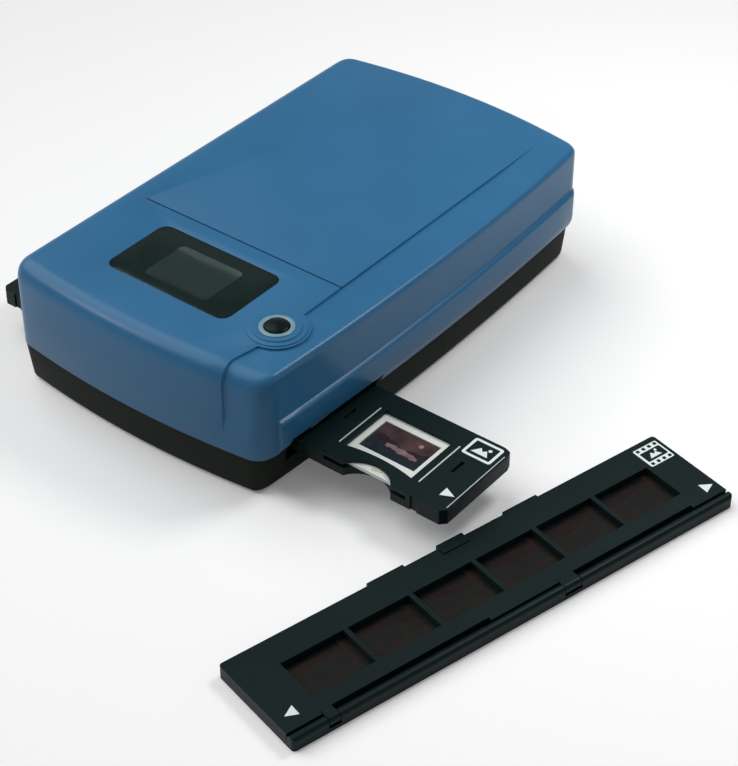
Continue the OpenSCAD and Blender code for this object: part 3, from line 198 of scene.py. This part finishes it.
def display_glass():
    """The front glass of a switched-off colour display: grey-green, with a painted sheen that makes it paler
    at two far corners.
    """
    material, tree, shader, places = new_finish("display_glass", "#2c423f", 0.3)
    sides = add(tree, "SeparateXYZ", {"Vector": places["Generated"]}).outputs
    diagonal = add(tree, "Math", {0: sides["X"], 1: sides["Y"]}, operation="ADD")
    centred = add(tree, "Math", {0: diagonal.outputs["Value"], 1: 1.0}, operation="SUBTRACT")
    corner = add(tree, "Math", {0: centred.outputs["Value"]}, operation="ABSOLUTE")
    # Painted sheen: the colour grows paler towards two far corners of the glass
    tone = add(tree, "ValToRGB", {"Fac": corner.outputs["Value"]}, ((0.55, "#2d4340"), (1.0, "#56675f")))
    connect(tree, shader, {"Base Color": tone.outputs["Color"]})
    return material


def circuit_board():
    """Glass-epoxy board under green solder mask, with copper runs 1.27 mm apart that show a paler green."""
    material, tree, shader, places = new_finish("green_solder_mask", "#1f5a3c", 0.35)
    runs = add(tree, "TexBrick", {
        "Vector": places["Object"], "Scale": per_mm(1.0),
        "Brick Width": 2.54, "Row Height": 1.27, "Mortar Size": 0.12,
        "Color1": (0, 0, 0, 1), "Color2": (0, 0, 0, 1), "Mortar": (1, 1, 1, 1)})
    tone = add(tree, "ValToRGB", {"Fac": runs.outputs["Color"]}, ((0.1, "#1a4f34"), (0.9, "#2a6b48")))
    relief = add(tree, "Bump", {"Height": runs.outputs["Fac"], "Distance": 0.03 * MM})
    connect(tree, shader, {"Base Color": tone.outputs["Color"], "Normal": relief.outputs["Normal"]})
    return material


def coated_glass():
    """Polished crown glass of the lenses, clear, with a coating that tints it."""
    material, tree, shader, places = new_finish(
        "coated_crown_glass", "#cfe0e2", 0.02, Transmission_Weight=1.0, IOR=1.52)
    waves = add(tree, "TexNoise", {"Vector": places["Object"], "Scale": per_mm(8.0), "Detail": 1.0})
    relief = add(tree, "Bump", {"Height": waves.outputs["Fac"], "Distance": 0.0005 * MM})
    connect(tree, shader, {"Normal": relief.outputs["Normal"]})
    return material


def silvered_glass():
    """Front-silvered mirror glass: a clear reflection, dulled a little in patches."""
    material, tree, shader, places = new_finish("silvered_glass", "#d5dbde", 0.03, Metallic=1.0)
    patches = add(tree, "TexNoise", {"Vector": places["Object"], "Scale": per_mm(6.0), "Detail": 3.0})
    gloss = add(tree, "MapRange", {"Value": patches.outputs["Fac"], "To Min": 0.02, "To Max": 0.06})
    connect(tree, shader, {"Roughness": gloss.outputs["Result"]})
    return material


def threaded_steel():
    """Rolled thread of the lead screw, with crests 1 mm apart that catch the light in rings."""
    crest = 1.0
    repeat = math.tau / 20            # a wave texture's period at a scale of 1
    material, tree, shader, places = new_finish("rolled_thread_steel", "#b6bac0", 0.3, Metallic=1.0)
    flanks = add(
        tree, "TexWave", {"Vector": places["Object"], "Scale": per_mm(crest / repeat)}, bands_direction="X")
    gloss = add(tree, "MapRange", {"Value": flanks.outputs["Fac"], "To Min": 0.25, "To Max": 0.45})
    relief = add(tree, "Bump", {"Height": flanks.outputs["Fac"], "Distance": 0.35 * MM})
    connect(tree, shader, {"Roughness": gloss.outputs["Result"], "Normal": relief.outputs["Normal"]})
    return material


def screen_print():
    """Black screen print on the back of the window: dull, with a thin blue-green cast."""
    material, tree, shader, places = new_finish("black_screen_print", "#0a2f2d", 0.6, Specular_IOR_Level=0.1)
    cast = add(tree, "TexNoise", {"Vector": places["Object"], "Scale": per_mm(12.0), "Detail": 3.0})
    tone = add(tree, "ValToRGB", {"Fac": cast.outputs["Fac"]}, ((0.3, "#082b29"), (0.7, "#0c3230")))
    connect(tree, shader, {"Base Color": tone.outputs["Color"]})
    return material


def matt_mark(name, colour):
    """Pad-printed, stamped or written marks, and pale painted lines, one of them a painted highlight: matt,
    and a touch uneven where the pad or pen pressed.
    """
    material, tree, shader, places = new_finish(name, colour, 0.55)
    pressed = add(tree, "TexNoise", {"Vector": places["Object"], "Scale": per_mm(1.2), "Detail": 2.0})
    gloss = add(tree, "MapRange", {"Value": pressed.outputs["Fac"], "To Min": 0.5, "To Max": 0.65})
    connect(tree, shader, {"Roughness": gloss.outputs["Result"]})
    return material


def film_dye(name, dark, light, clouds, specular=0.3, roughness=0.25, detail=4.0):
    """The dye layer of film in one part of its picture, clouded as grain and haze make it."""
    material, tree, shader, places = new_finish(name, light, roughness, Specular_IOR_Level=specular)
    haze = add(tree, "TexNoise", {"Vector": places["Object"], "Scale": per_mm(clouds), "Detail": detail})
    tone = add(tree, "ValToRGB", {"Fac": haze.outputs["Fac"]}, ((0.3, dark), (0.7, light)))
    connect(tree, shader, {"Base Color": tone.outputs["Color"]})
    return material


# Satin blue ABS of the cover: an even soft sheen. The grain is 0.15 mm on the real part, and is drawn at
# 0.4 mm so that it shows
blue_abs = moulded_plastic(
    "blue_satin_abs", "#2a6690", "#306f9a",
    roughness=0.315, grain=0.4, depth=0.003, specular=0.26, spread=0.03)
# Painted shade: a darker blue for the bottom of the groove across the top, where little light gets in
painted_groove_shade = moulded_plastic(
    "painted_shade_blue", "#0b3357", "#0e3a61", roughness=0.6, grain=0.5, depth=0.002, specular=0.1)
# Black ABS of the base, with a coarser moulded texture than the cover, which looks dull
black_abs = moulded_plastic(
    "black_textured_abs", "#181e19", "#1f251f", roughness=0.6, grain=0.7, depth=0.03, specular=0.08)
# Black glass-filled ABS of both film holders: near matt
holder_abs = moulded_plastic(
    "black_holder_abs", "#04191a", "#071d1e", roughness=0.42, grain=0.35, depth=0.006, specular=0.14)
# Black ABS of the button's cap, polished: smooth, with a dim reflection
button_abs = moulded_plastic(
    "black_glossy_abs", "#051516", "#061819",
    roughness=0.3, grain=0.5, depth=0.001, specular=0.1, spread=0.02)
# Dark polycarbonate of the track, the carriage, the lens barrel, the sensors, the switch and the power jack:
# satin
dark_pc = moulded_plastic(
    "dark_polycarbonate", "#202423", "#292d2c", roughness=0.45, grain=0.5, depth=0.01, specular=0.4)
# White polystyrene of the slide mounts and the lamp's diffuser: smooth and satin
white_ps = moulded_plastic("white_polystyrene", "#e4eae4", "#edf1ec", roughness=0.38, grain=0.4, depth=0.006)
# White acetal of the gear: a waxy, warmer white
white_pom = moulded_plastic("white_acetal", "#dcdcd4", "#e4e4dc", roughness=0.35, grain=0.3, depth=0.003)
# Soft black rubber of the feet: dull, with a fine dusty grain
rubber = moulded_plastic(
    "black_rubber", "#161817", "#1c1e1d", roughness=0.8, grain=0.3, depth=0.02, specular=0.3)

# Drawn steel of shafts, rods, pins, spring, motor cans and a socket's shell: bright, with lines along it
steel = worked_metal("drawn_steel", "#b6bac0", roughness=0.3, grain=0.25)
# Zinc-plated steel of the screws: greyer, with no direction
screw_steel = worked_metal("zinc_plated_steel", "#a9adb0", roughness=0.35, grain=0.3, along=(1.0, 1.0, 1.0))
# Turned brass of the pinion and the nut: yellow and bright
brass = worked_metal("turned_brass", "#b89a52", roughness=0.3, grain=0.25)
# Pressed steel sheet of the mechanism's frame: duller, from the rolling mill
sheet_steel = worked_metal("pressed_steel_sheet", "#8d9496", roughness=0.42, grain=0.5)

silver = silver_coat()
acrylic = smoked_acrylic()
lcd = display_glass()
board = circuit_board()
thread = threaded_steel()
lens_glass = coated_glass()
mirror_glass = silvered_glass()
print_black = screen_print()
ink = matt_mark("white_ink", "#e4ecec")
# Grey-white paint for the pale lines beside the slides and for the painted highlight along the holder's end
line_and_highlight_paint = matt_mark("grey_white_line_and_highlight_paint", "#c3cfcd")
pencil = matt_mark("pencil_grey", "#a2a79d")
faded_ink = matt_mark("faded_stamp_ink", "#d5cfa6")
# Reversal film of the slides: a dusky red sky
dusk_sky = film_dye("slide_sky", "#39292d", "#574240", clouds=8.0)
# Colour negative film: dark orange-brown, with a dull shine
negative = film_dye(
    "negative_emulsion", "#120f0d", "#21130f", clouds=26.0, specular=0.2, roughness=0.3, detail=3.0)

NODE_FINISH = {
    "base_tub": black_abs, "top_cover": blue_abs, "rubber_feet": rubber, "case_screws": screw_steel,
    "display_window": acrylic, "display_module": lcd, "front_board": board, "button_ring": silver,
    "scan_button": button_abs, "button_spring": steel, "main_board": board, "usb_socket": steel,
    "power_jack": dark_pc, "switch_frame": dark_pc, "power_rocker": dark_pc, "mechanism_frame": sheet_steel,
    "holder_track": dark_pc, "lamp_board": board, "lamp_diffuser": white_ps, "feed_gear": white_pom,
    "feed_shaft": steel, "feed_pinion": brass, "feed_motor": steel, "guide_rods": steel, "lead_screw": thread,
    "scan_motor": steel, "carriage": dark_pc, "carriage_nut": brass, "mirror": mirror_glass,
    "lens_barrel": dark_pc, "lens_front": lens_glass, "lens_rear": lens_glass, "sensor_board": board,
    "line_sensor": dark_pc, "home_sensor": dark_pc, "slide_holder_base": holder_abs,
    "slide_holder_cover": holder_abs, "slide_mounts": white_ps, "slide_films": dusk_sky,
    "strip_holder_base": holder_abs, "strip_holder_lid": holder_abs, "strip_hinge_pins": steel,
    "strip_latch": holder_abs, "film_strip": negative,
}


# ---------- softened edges on the parts from model.glb -------

WELD_MM = 0.002                       # points closer than this are joined
SMOOTH_BELOW = math.radians(30.0)     # an edge that turns less than this is part of a curve

# Width of each part's moulded edges; a part that isn't listed keeps its sharp ones
EDGE_MM = {
    "top_cover": 0.25, "base_tub": 0.25, "slide_holder_base": 0.15, "slide_holder_cover": 0.2,
    "strip_holder_base": 0.2, "strip_holder_lid": 0.2, "strip_latch": 0.2, "slide_mounts": 0.15,
    "scan_button": 0.35, "display_window": 0.12, "power_rocker": 0.15, "switch_frame": 0.15,
}


def smoothing_group():
    """Nodes that smooth a mesh but for the edges that turn more than SMOOTH_BELOW."""
    group = bpy.data.node_groups.new("smooth_to_angle", "GeometryNodeTree")
    group.is_modifier = True
    group.interface.new_socket("Geometry", in_out="INPUT", socket_type="NodeSocketGeometry")
    group.interface.new_socket("Geometry", in_out="OUTPUT", socket_type="NodeSocketGeometry")
    start = group.nodes.new("NodeGroupInput")
    end = group.nodes.new("NodeGroupOutput")
    angle = group.nodes.new("GeometryNodeInputMeshEdgeAngle")
    sharper = group.nodes.new("FunctionNodeCompare")
    sharper.operation = "GREATER_THAN"
    normals = group.nodes.new("GeometryNodeSetMeshNormal")
    normals.mode = "SHARPNESS"
    connect(group, sharper, {0: angle.outputs["Unsigned Angle"], 1: SMOOTH_BELOW})
    connect(group, normals, {
        "Mesh": start.outputs["Geometry"], "Remove Custom": True,
        "Edge Sharpness": sharper.outputs["Result"], "Face Sharpness": False})
    connect(group, end, {"Geometry": normals.outputs["Mesh"]})
    return group


def soften(part, edge_mm, smoothing, level_faces):
    """Joins the mesh, rounds its sharp edges as a mould does and smooths its curves; can keep faces level."""
    weld = part.modifiers.new("weld", "WELD")
    weld.merge_threshold = WELD_MM * MM
    if edge_mm:
        bevel = part.modifiers.new("edge", "BEVEL")
        bevel.width = edge_mm * MM
        bevel.segments = 3
        bevel.limit_method = "ANGLE"
        bevel.angle_limit = SMOOTH_BELOW
        bevel.miter_outer = "MITER_ARC"
    smooth = part.modifiers.new("smooth", "NODES")
    smooth.node_group = smoothing
    if level_faces:
        level = part.modifiers.new("level", "WEIGHTED_NORMAL")
        level.keep_sharp = True


smoothing = smoothing_group()
for name, finish in NODE_FINISH.items():
    part = NODES[name]
    part.data.materials.clear()
    part.data.materials.append(finish)
    soften(part, EDGE_MM.get(name, 0), smoothing, finish is holder_abs)


# ---------- the button's spring ----------

SPRING_WIRE = 0.35                    # radius of the wire, in millimetres
SPRING_TURNS = 4


def coil_spring(name, body, node, finish):
    """A spring in place of its node, standing on a body."""
    low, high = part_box(node)
    middle = (low + high) / 2
    up = Vector((0.0, 0.0, 1.0))
    wire = SPRING_WIRE * MM
    radius = (high.x - low.x) / 2 - wire
    steps_a_turn = 32
    steps = SPRING_TURNS * steps_a_turn
    sides = 10
    points = []
    for k in range(steps + 1):
        turn = math.tau * SPRING_TURNS * k / steps
        outward = Vector((math.cos(turn), math.sin(turn), 0.0))
        height = low.z + wire + (high.z - low.z - 2 * wire) * k / steps
        centre = Vector((middle.x, middle.y, height)) + radius * outward
        for side in range(sides):
            bend = math.tau * side / sides
            points.append(centre + wire * (math.cos(bend) * outward + math.sin(bend) * up))
    around = [(side, (side + 1) % sides) for side in range(sides)]
    faces = [(k * sides + a, (k + 1) * sides + a, (k + 1) * sides + b, k * sides + b)
             for k in range(steps) for a, b in around]
    faces.append(tuple(range(sides)))
    faces.append(tuple(reversed(range(steps * sides, (steps + 1) * sides))))
    mesh = bpy.data.meshes.new(name)
    mesh.from_pydata(points, [], faces)
    mesh.materials.append(finish)
    mesh.shade_smooth()
    piece = bpy.data.objects.new(name, mesh)
    bpy.context.scene.collection.objects.link(piece)
    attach(piece, body)
    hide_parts(node)
    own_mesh(piece)


coil_spring("button_coil", "case", "button_spring", steel)


# ---------- outlines, as lists of points in millimetres, and thin layers of them ----------

INK = 0.05                            # thickness of a printed mark


def rounded_rectangle(x, y, width, depth, radius):
    """A rectangle with round corners about (x, y), anticlockwise."""
    steps = 6
    points = []
    for corner in range(4):
        right = 1 if corner in (0, 3) else -1
        back = 1 if corner in (0, 1) else -1
        for k in range(steps + 1):
            turn = math.radians(90 * corner + 90 * k / steps)
            points.append((x + right * (width / 2 - radius) + radius * math.cos(turn),
                           y + back * (depth / 2 - radius) + radius * math.sin(turn)))
    return points


def disc(x, y, radius):
    """A round patch about (x, y), anticlockwise."""
    steps = 24
    turns = [math.tau * k / steps for k in range(steps)]
    return [(x + radius * math.cos(turn), y + radius * math.sin(turn)) for turn in turns]


def stroke(x0, y0, x1, y1, width):
    """A straight line of some width, as a long rectangle."""
    along = Vector((x1 - x0, y1 - y0)).normalized() * width / 2
    across = Vector((-along.y, along.x))
    return [(x0 - across.x, y0 - across.y), (x1 - across.x, y1 - across.y),
            (x1 + across.x, y1 + across.y), (x0 + across.x, y0 + across.y)]


def band(start, end, upper, lower, steps=40):
    """The area between two curves given as functions of x."""
    xs = [start + (end - start) * k / steps for k in range(steps + 1)]
    return [(x, lower(x)) for x in xs] + [(x, upper(x)) for x in reversed(xs)]


def pictogram(x, y, scale):
    """A hill line and a small sun, for the picture in either icon."""
    hills = [(-5.2, -3.2), (5.2, -3.2), (2.2, 1.4), (0.4, -0.6), (-1.6, 2.0)]
    sun_disc = disc(x + 3.6 * scale, y + 2.4 * scale, 1.1 * scale)
    return [[(x + a * scale, y + b * scale) for a, b in hills], sun_disc]


def moved(outlines, x):
    """The outlines, moved along by x."""
    return [[(x + a, b) for a, b in outline] for outline in outlines]


def layer(name, body, finish, shapes, place, z, thickness=INK):
    """A thin layer on top of z. A shape is an outline, or an outline and a hole with as many points."""
    points = []
    faces = []
    for shape in shapes:
        rings = shape if isinstance(shape, tuple) else (shape,)
        count = len(rings[0])
        lower = len(points)
        upper = lower + count * len(rings)
        for height in (z, z + thickness):
            for ring in rings:
                points.extend(place(x, y, height) for x, y in ring)
        around = [(k, (k + 1) % count) for k in range(count)]
        faces += [(lower + a, lower + b, upper + b, upper + a) for a, b in around]
        if len(rings) == 1:
            faces.append(tuple(range(upper, upper + count)))
            faces.append(tuple(reversed(range(lower, lower + count))))
        else:
            lower_hole = lower + count
            upper_hole = upper + count
            faces += [(lower_hole + b, lower_hole + a, upper_hole + a, upper_hole + b) for a, b in around]
            faces += [(upper + a, upper + b, upper_hole + b, upper_hole + a) for a, b in around]
            faces += [(lower + b, lower + a, lower_hole + a, lower_hole + b) for a, b in around]
    mesh = bpy.data.meshes.new(name)
    mesh.from_pydata(points, [], faces)
    mesh.materials.append(finish)
    piece = bpy.data.objects.new(name, mesh)
    bpy.context.scene.collection.objects.link(piece)
    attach(piece, body)


# ---------- marks on the case, from the window's middle ----------

PRINT_BELOW = 1.57                    # from the window's face down to the print behind it
GROOVE_Y = 35.3
GROOVE_START = -65.2
GROOVE_END = 68.2
GROOVE_FLOOR = 73.1                   # height of the bottom of the groove across the top

# The black print behind the window plate, with a clear area over the display
window_frame = (
    rounded_rectangle(0.0, 0.0, width=81.2, depth=46.2, radius=5.8),
    rounded_rectangle(0.0, 0.0, width=42.0, depth=31.0, radius=3.0))
layer("window_print", "case", print_black, [window_frame], on_window, WINDOW_TOP - PRINT_BELOW)

# A strip of painted shade at the bottom of the groove between the two halves of the top
layer("groove_painted_shade", "case", painted_groove_shade, [stroke(GROOVE_START, GROOVE_Y, GROOVE_END, GROOVE_Y, width=0.96)],
      on_window, GROOVE_FLOOR, thickness=0.62)


# ---------- marks on the slide holder, from its middle ----------

ICON_X = 137.65
ICON_Y = 19.9
SIDE_LINES = (-24.1, 25.4)           # the lines beside a slide, from its middle
SIDE_LINE_NEAR = -18.0
SIDE_LINE_FAR = 16.0
# A painted highlight along the holder's end: a light line where the edge of the end catches the light
END_HIGHLIGHT_X = 148.7
END_HIGHLIGHT_NEAR = -25.0
END_HIGHLIGHT_FAR = 23.0

icon_frame = (
    rounded_rectangle(ICON_X, ICON_Y, width=17.3, depth=13.8, radius=1.5),
    rounded_rectangle(ICON_X, ICON_Y, width=14.1, depth=10.6, radius=0.6))
icon_picture = pictogram(ICON_X - 0.25, ICON_Y - 0.2, scale=0.95)
holder_arrow = [(140.1, -13.3), (140.2, -19.7), (147.0, -16.5)]
# Pale grey-white lines beside each slide, laid on the holder's top
side_lines = [stroke(x + side, SIDE_LINE_NEAR, x + side, SIDE_LINE_FAR, width=0.8)
               for x in SLIDES for side in SIDE_LINES]
end_highlight = stroke(END_HIGHLIGHT_X, END_HIGHLIGHT_NEAR, END_HIGHLIGHT_X, END_HIGHLIGHT_FAR, width=0.45)

layer("slide_icon", "slide_holder", ink, [icon_frame] + icon_picture, on_holder, HOLDER_TOP)
layer("slide_arrow", "slide_holder", ink, [holder_arrow], on_holder, HOLDER_TOP)
layer("slide_side_lines", "slide_holder", line_and_highlight_paint, side_lines, on_holder, HOLDER_TOP)
# The painted highlight along the holder's end
layer("holder_end_highlight", "slide_holder", line_and_highlight_paint, [end_highlight], on_holder, HOLDER_TOP)


# ---------- marks on the strip holder's lid, from its middle ----------

STRIP_ICON_X = 124.6
STRIP_ICON_Y = 18.25
HOLE_STEP = 3.8                       # from one perforation of the icon to the next
HOLE_ROW = 5.65                       # from the icon's middle to either row

strip_icon_frame = (
    rounded_rectangle(STRIP_ICON_X - 0.25, STRIP_ICON_Y, width=15.5, depth=14.7, radius=0.8),
    rounded_rectangle(STRIP_ICON_X, STRIP_ICON_Y, width=13.2, depth=7.3, radius=0.6))
perforations = [
    rounded_rectangle(STRIP_ICON_X - 0.1 + x, STRIP_ICON_Y + y, width=1.9, depth=1.9, radius=0.3)
    for y in (-HOLE_ROW, HOLE_ROW) for x in spread_out(4, HOLE_STEP)]
strip_icon_picture = pictogram(STRIP_ICON_X, STRIP_ICON_Y + 0.2, scale=0.72)
strip_arrows = [
    [(125.1, -12.9), (124.9, -19.7), (131.5, -16.7)],
    [(-122.2, -11.3), (-128.7, -14.9), (-122.4, -17.8)]]

layer("strip_icon", "strip_lid", ink, [strip_icon_frame], on_strip, STRIP_TOP)
layer("strip_icon_perforations", "strip_lid", holder_abs, perforations, on_strip, STRIP_TOP + INK)
layer("strip_icon_picture", "strip_lid", ink, strip_icon_picture, on_strip, STRIP_TOP)
layer("strip_arrows", "strip_lid", ink, strip_arrows, on_strip, STRIP_TOP)


# ---------- signs on the power switch ----------

PIVOT_DEPTH = 8.0                     # from the inner end of the switch's frame to the rocker's pivot
SWITCH_LEAN = math.radians(-12.0)     # the rear wall leans, and the switch with it
FACE_OUT = 3.4                        # from the pivot to the crease between the rocker's halves
FACE_RISE = 0.2425                    # sine and cosine of the slope of either half
FACE_RUN = 0.970
SIGN_X = -3.5


def on_rocker(half):
    """Maker of points on the upper (1) or lower (-1) half of the rocker: along it, up it and off it."""
    low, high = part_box("switch_frame")
    pivot = Vector(((low.x + high.x) / 2, low.y + PIVOT_DEPTH * MM, (low.z + high.z) / 2))
    leaned = Matrix.Rotation(SWITCH_LEAN, 4, "X")

    def point(along, up, off):
        out = FACE_OUT + abs(up) * FACE_RISE + off * FACE_RUN
        rise = up * FACE_RUN - half * off * FACE_RISE
        return pivot + leaned @ Vector((along, out, rise)) * MM
    return point


on_sign = stroke(SIGN_X, 0.75, SIGN_X, 2.25, width=0.35)
off_sign = (disc(SIGN_X, -1.5, radius=0.8), disc(SIGN_X, -1.5, radius=0.5))
layer("rocker_on_sign", "rocker", ink, [on_sign], on_rocker(1), 0.0)
layer("rocker_off_sign", "rocker", ink, [off_sign], on_rocker(-1), 0.0)


# ---------- pencil ticks and a faded stamp on the near edge of each slide mount ----------

TICKS = [
    stroke(-9.0, -23.9, 11.5, -23.9, width=0.18),
    stroke(4.9, -21.6, 4.6, -23.4, width=0.3),
    stroke(4.9, -21.6, 6.1, -21.9, width=0.3)]
STAMP = [rounded_rectangle(1.8, -22.5, width=4.2, depth=1.7, radius=0.8)]

mount_ticks = [tick for x in SLIDES for tick in moved(TICKS, x)]
mount_stamps = [stamp for x in SLIDES for stamp in moved(STAMP, x)]
layer("mount_marks", "slide_holder", pencil, mount_ticks, on_holder, MOUNT_TOP)
layer("mount_stamp", "slide_holder", faded_ink, mount_stamps, on_holder, MOUNT_TOP)


# ---------- the slides' pictures: a lake at dusk under low hills, with a bank of mist ----------

DYE = 0.03                            # thickness of one part of a picture
DYE_STEP = 0.02                       # from one part of a picture up to the next
SLIDE_HALF_W = 17.3
SLIDE_HALF_H = 11.45


def lake_scene(phase):
    """The parts of one picture as outlines about its middle: hills, water, mist and sun."""
    def ridge(x):
        return 1.4 + 1.9 * math.sin(0.21 * x + phase) + 0.7 * math.sin(0.63 * x + 2.1 * phase)

    def shore(x):
        return -1.6 - 0.05 * x + 0.25 * math.sin(0.5 * x + phase)

    def swell(x):
        billow = 1.0 + 0.2 * math.sin(1.1 * x + phase) + 0.1 * math.sin(2.3 * x + 3.0 * phase)
        return billow * max(0.0, 1.0 - ((x - 3.0) / 10.0) ** 2) ** 0.5

    def mist_top(x):
        return -1.9 - 0.08 * x + 1.3 * swell(x)

    def mist_foot(x):
        return -1.9 - 0.08 * x - 2.2 * swell(-0.7 * x + 5.1)

    hills = band(-SLIDE_HALF_W, SLIDE_HALF_W, ridge, lambda x: shore(x) - 0.5)
    water = band(-SLIDE_HALF_W, SLIDE_HALF_W, shore, lambda x: -SLIDE_HALF_H)
    mist = band(-6.9, 12.9, mist_top, mist_foot, steps=60)
    low_sun = disc(8.5, 6.6, radius=1.3)
    return hills, water, mist, low_sun


lake_scenes = [moved(lake_scene(phase=3.406 + 0.13 * x), x) for x in SLIDES]
for level, (part, dark, light) in enumerate((
        ("hills", "#21161b", "#38262b"), ("water", "#141f27", "#1f2d36"),
        ("mist", "#6a555b", "#93797c"), ("sun", "#a37a70", "#b98d80"))):
    layer("slide_" + part, "slide_holder", film_dye("slide_" + part, dark, light, clouds=3.0),
          [scene[level] for scene in lake_scenes], on_holder, SLIDE_FILM_TOP + DYE_STEP * (level + 1), DYE)


# ---------- the negatives: a hill with a redder rim, a field before it, and a near-black jagged band along the top ---

FRAME_HALF_W = 17.5
FRAME_HALF_H = 12.3
LEANS = (0.5, -0.35, 0.2, -0.15, 0.3, -0.5)     # how each picture's ground slopes


def hill_scene(k):
    """The parts of one negative as outlines about its middle: hill, field, rim and a near-black jagged band
    along the top.
    """
    lean = LEANS[k]
    jagged_top = random.Random(k)

    def crest(x):
        return 3.0 + 0.22 * lean * x + 2.2 * math.cos(0.16 * x + k)

    def field_top(x):
        return min(crest(x) - 1.0, -4.0 + 0.3 * lean * x)

    def jagged_top_edge(x):
        return 10.6 - 1.6 * jagged_top.random() - 0.1 * abs(x + 4.0 * lean)

    hill = band(-FRAME_HALF_W, FRAME_HALF_W, crest, lambda x: -FRAME_HALF_H)
    field = band(-FRAME_HALF_W, FRAME_HALF_W, field_top, lambda x: -FRAME_HALF_H)
    rim = band(-14.0, 9.0, lambda x: crest(x) + 0.35, crest)
    top_band = band(-FRAME_HALF_W, 13.0, lambda x: FRAME_HALF_H, jagged_top_edge, steps=22)
    return hill, field, rim, top_band


hill_scenes = [moved(hill_scene(k), x) for k, x in enumerate(FRAMES)]
for level, (part, dark, light) in enumerate((
        ("hills", "#0e100f", "#151615"), ("fields", "#14110e", "#1d1712"),
        ("rims", "#2b130f", "#3a1c12"), ("jagged_top", "#050606", "#090a0a"))):
    layer("negative_" + part, "strip_holder", film_dye("negative_" + part, dark, light, clouds=6.0),
          [scene[level] for scene in hill_scenes], on_strip, NEGATIVE_TOP + DYE_STEP * level, DYE)


# ---------- camera, lamps and stage ----------

def set_camera():
    """A long lens, in front of the case, to its right and above it."""
    azimuth = math.radians(38.089)
    elevation = math.radians(38.001)
    back = Vector((math.sin(azimuth) * math.cos(elevation), -math.cos(azimuth) * math.cos(elevation),
                   math.sin(elevation)))
    data = bpy.data.cameras.new("camera")
    data.lens = 99.42
    data.sensor_width = 36.0
    data.clip_start = 0.05
    camera = bpy.data.objects.new("camera", data)
    camera.location = (0.542059, -0.674768, 0.694597)
    camera.rotation_euler = (-back).to_track_quat("-Z", "Y").to_euler()
    bpy.context.scene.collection.objects.link(camera)
    bpy.context.scene.camera = camera


def set_sky():
    """An even studio sky, brighter at the horizon than overhead."""
    world = bpy.data.worlds.new("studio")
    world.use_nodes = True
    tree = world.node_tree
    places = add(tree, "TexCoord", {}).outputs
    up = add(tree, "SeparateXYZ", {"Vector": places["Generated"]}).outputs["Z"]
    glow = add(tree, "MapRange", {"Value": up, "From Max": 0.5, "To Min": 0.40, "To Max": 0.24})
    connect(tree, tree.nodes["Background"], {"Color": glow.outputs["Result"]})
    bpy.context.scene.world = world


def lay_floor():
    """White paper that shows white, and throws back less light from below than a real sweep would."""
    reach = 40.0                      # in metres, so that no edge shows below the horizon
    corners = [(-reach, -reach, 0), (reach, -reach, 0), (reach, reach, 0), (-reach, reach, 0)]
    mesh = bpy.data.meshes.new("floor")
    mesh.from_pydata(corners, [], [(0, 1, 2, 3)])
    floor = bpy.data.objects.new("floor", mesh)
    bpy.context.scene.collection.objects.link(floor)
    material, tree, shader = new_finish("white_paper", "#f4f4f4", 0.9, Specular_IOR_Level=0.0)[:3]
    mesh.materials.append(material)
    ray = add(tree, "LightPath", {}).outputs
    seen = add(tree, "Math", {0: ray["Is Camera Ray"], 1: ray["Is Glossy Ray"]}, operation="MAXIMUM")
    seen = add(tree, "Math", {0: seen.outputs["Value"], 1: ray["Is Transmission Ray"]}, operation="MAXIMUM")
    tone = add(tree, "ValToRGB", {"Fac": seen.outputs["Value"]}, ((0.0, "#a8a8a8"), (1.0, "#fafafa")))
    glow = add(tree, "Math", {0: seen.outputs["Value"], 1: 0.1}, operation="MULTIPLY")
    connect(tree, shader, {
        "Base Color": tone.outputs["Color"], "Emission Color": (1.0, 1.0, 1.0, 1.0),
        "Emission Strength": glow.outputs["Value"]})


def aim(lamp, place, target):
    """Puts a lamp in its place and turns it to shine at the target."""
    bpy.context.scene.collection.objects.link(lamp)
    lamp.location = place
    lamp.rotation_euler = (Vector(target) - Vector(place)).to_track_quat("-Z", "Y").to_euler()


def sun(name, towards, strength, angle):
    """A distant soft lamp that shines from the given direction."""
    data = bpy.data.lights.new(name, "SUN")
    data.energy = strength
    data.angle = math.radians(angle)
    aim(bpy.data.objects.new(name, data), Vector(towards).normalized() * 2.0, (0, 0, 0))


def softbox(name, place, target, width, power):
    """A round lamp that draws a soft line of light along an edge."""
    data = bpy.data.lights.new(name, "AREA")
    data.shape = "DISK"
    data.size = width
    data.energy = power
    aim(bpy.data.objects.new(name, data), place, target)


set_camera()
set_sky()
lay_floor()
# One broad lamp from above and to the left, and two small ones for the lines of light along the edges
sun("key", towards=(-0.62, -0.10, 0.78), strength=1.66, angle=60.0)
softbox("rear_right", on_holder(207.8, 333.0, 540.0), on_holder(57.8, 23.0, 60.0), width=0.22, power=1.3)
softbox("front_left", on_holder(-344.2, -320.0, 358.0), on_holder(-106.2, -42.0, 70.0), width=0.1, power=0.28)

bpy.context.scene.view_settings.view_transform = "Standard"
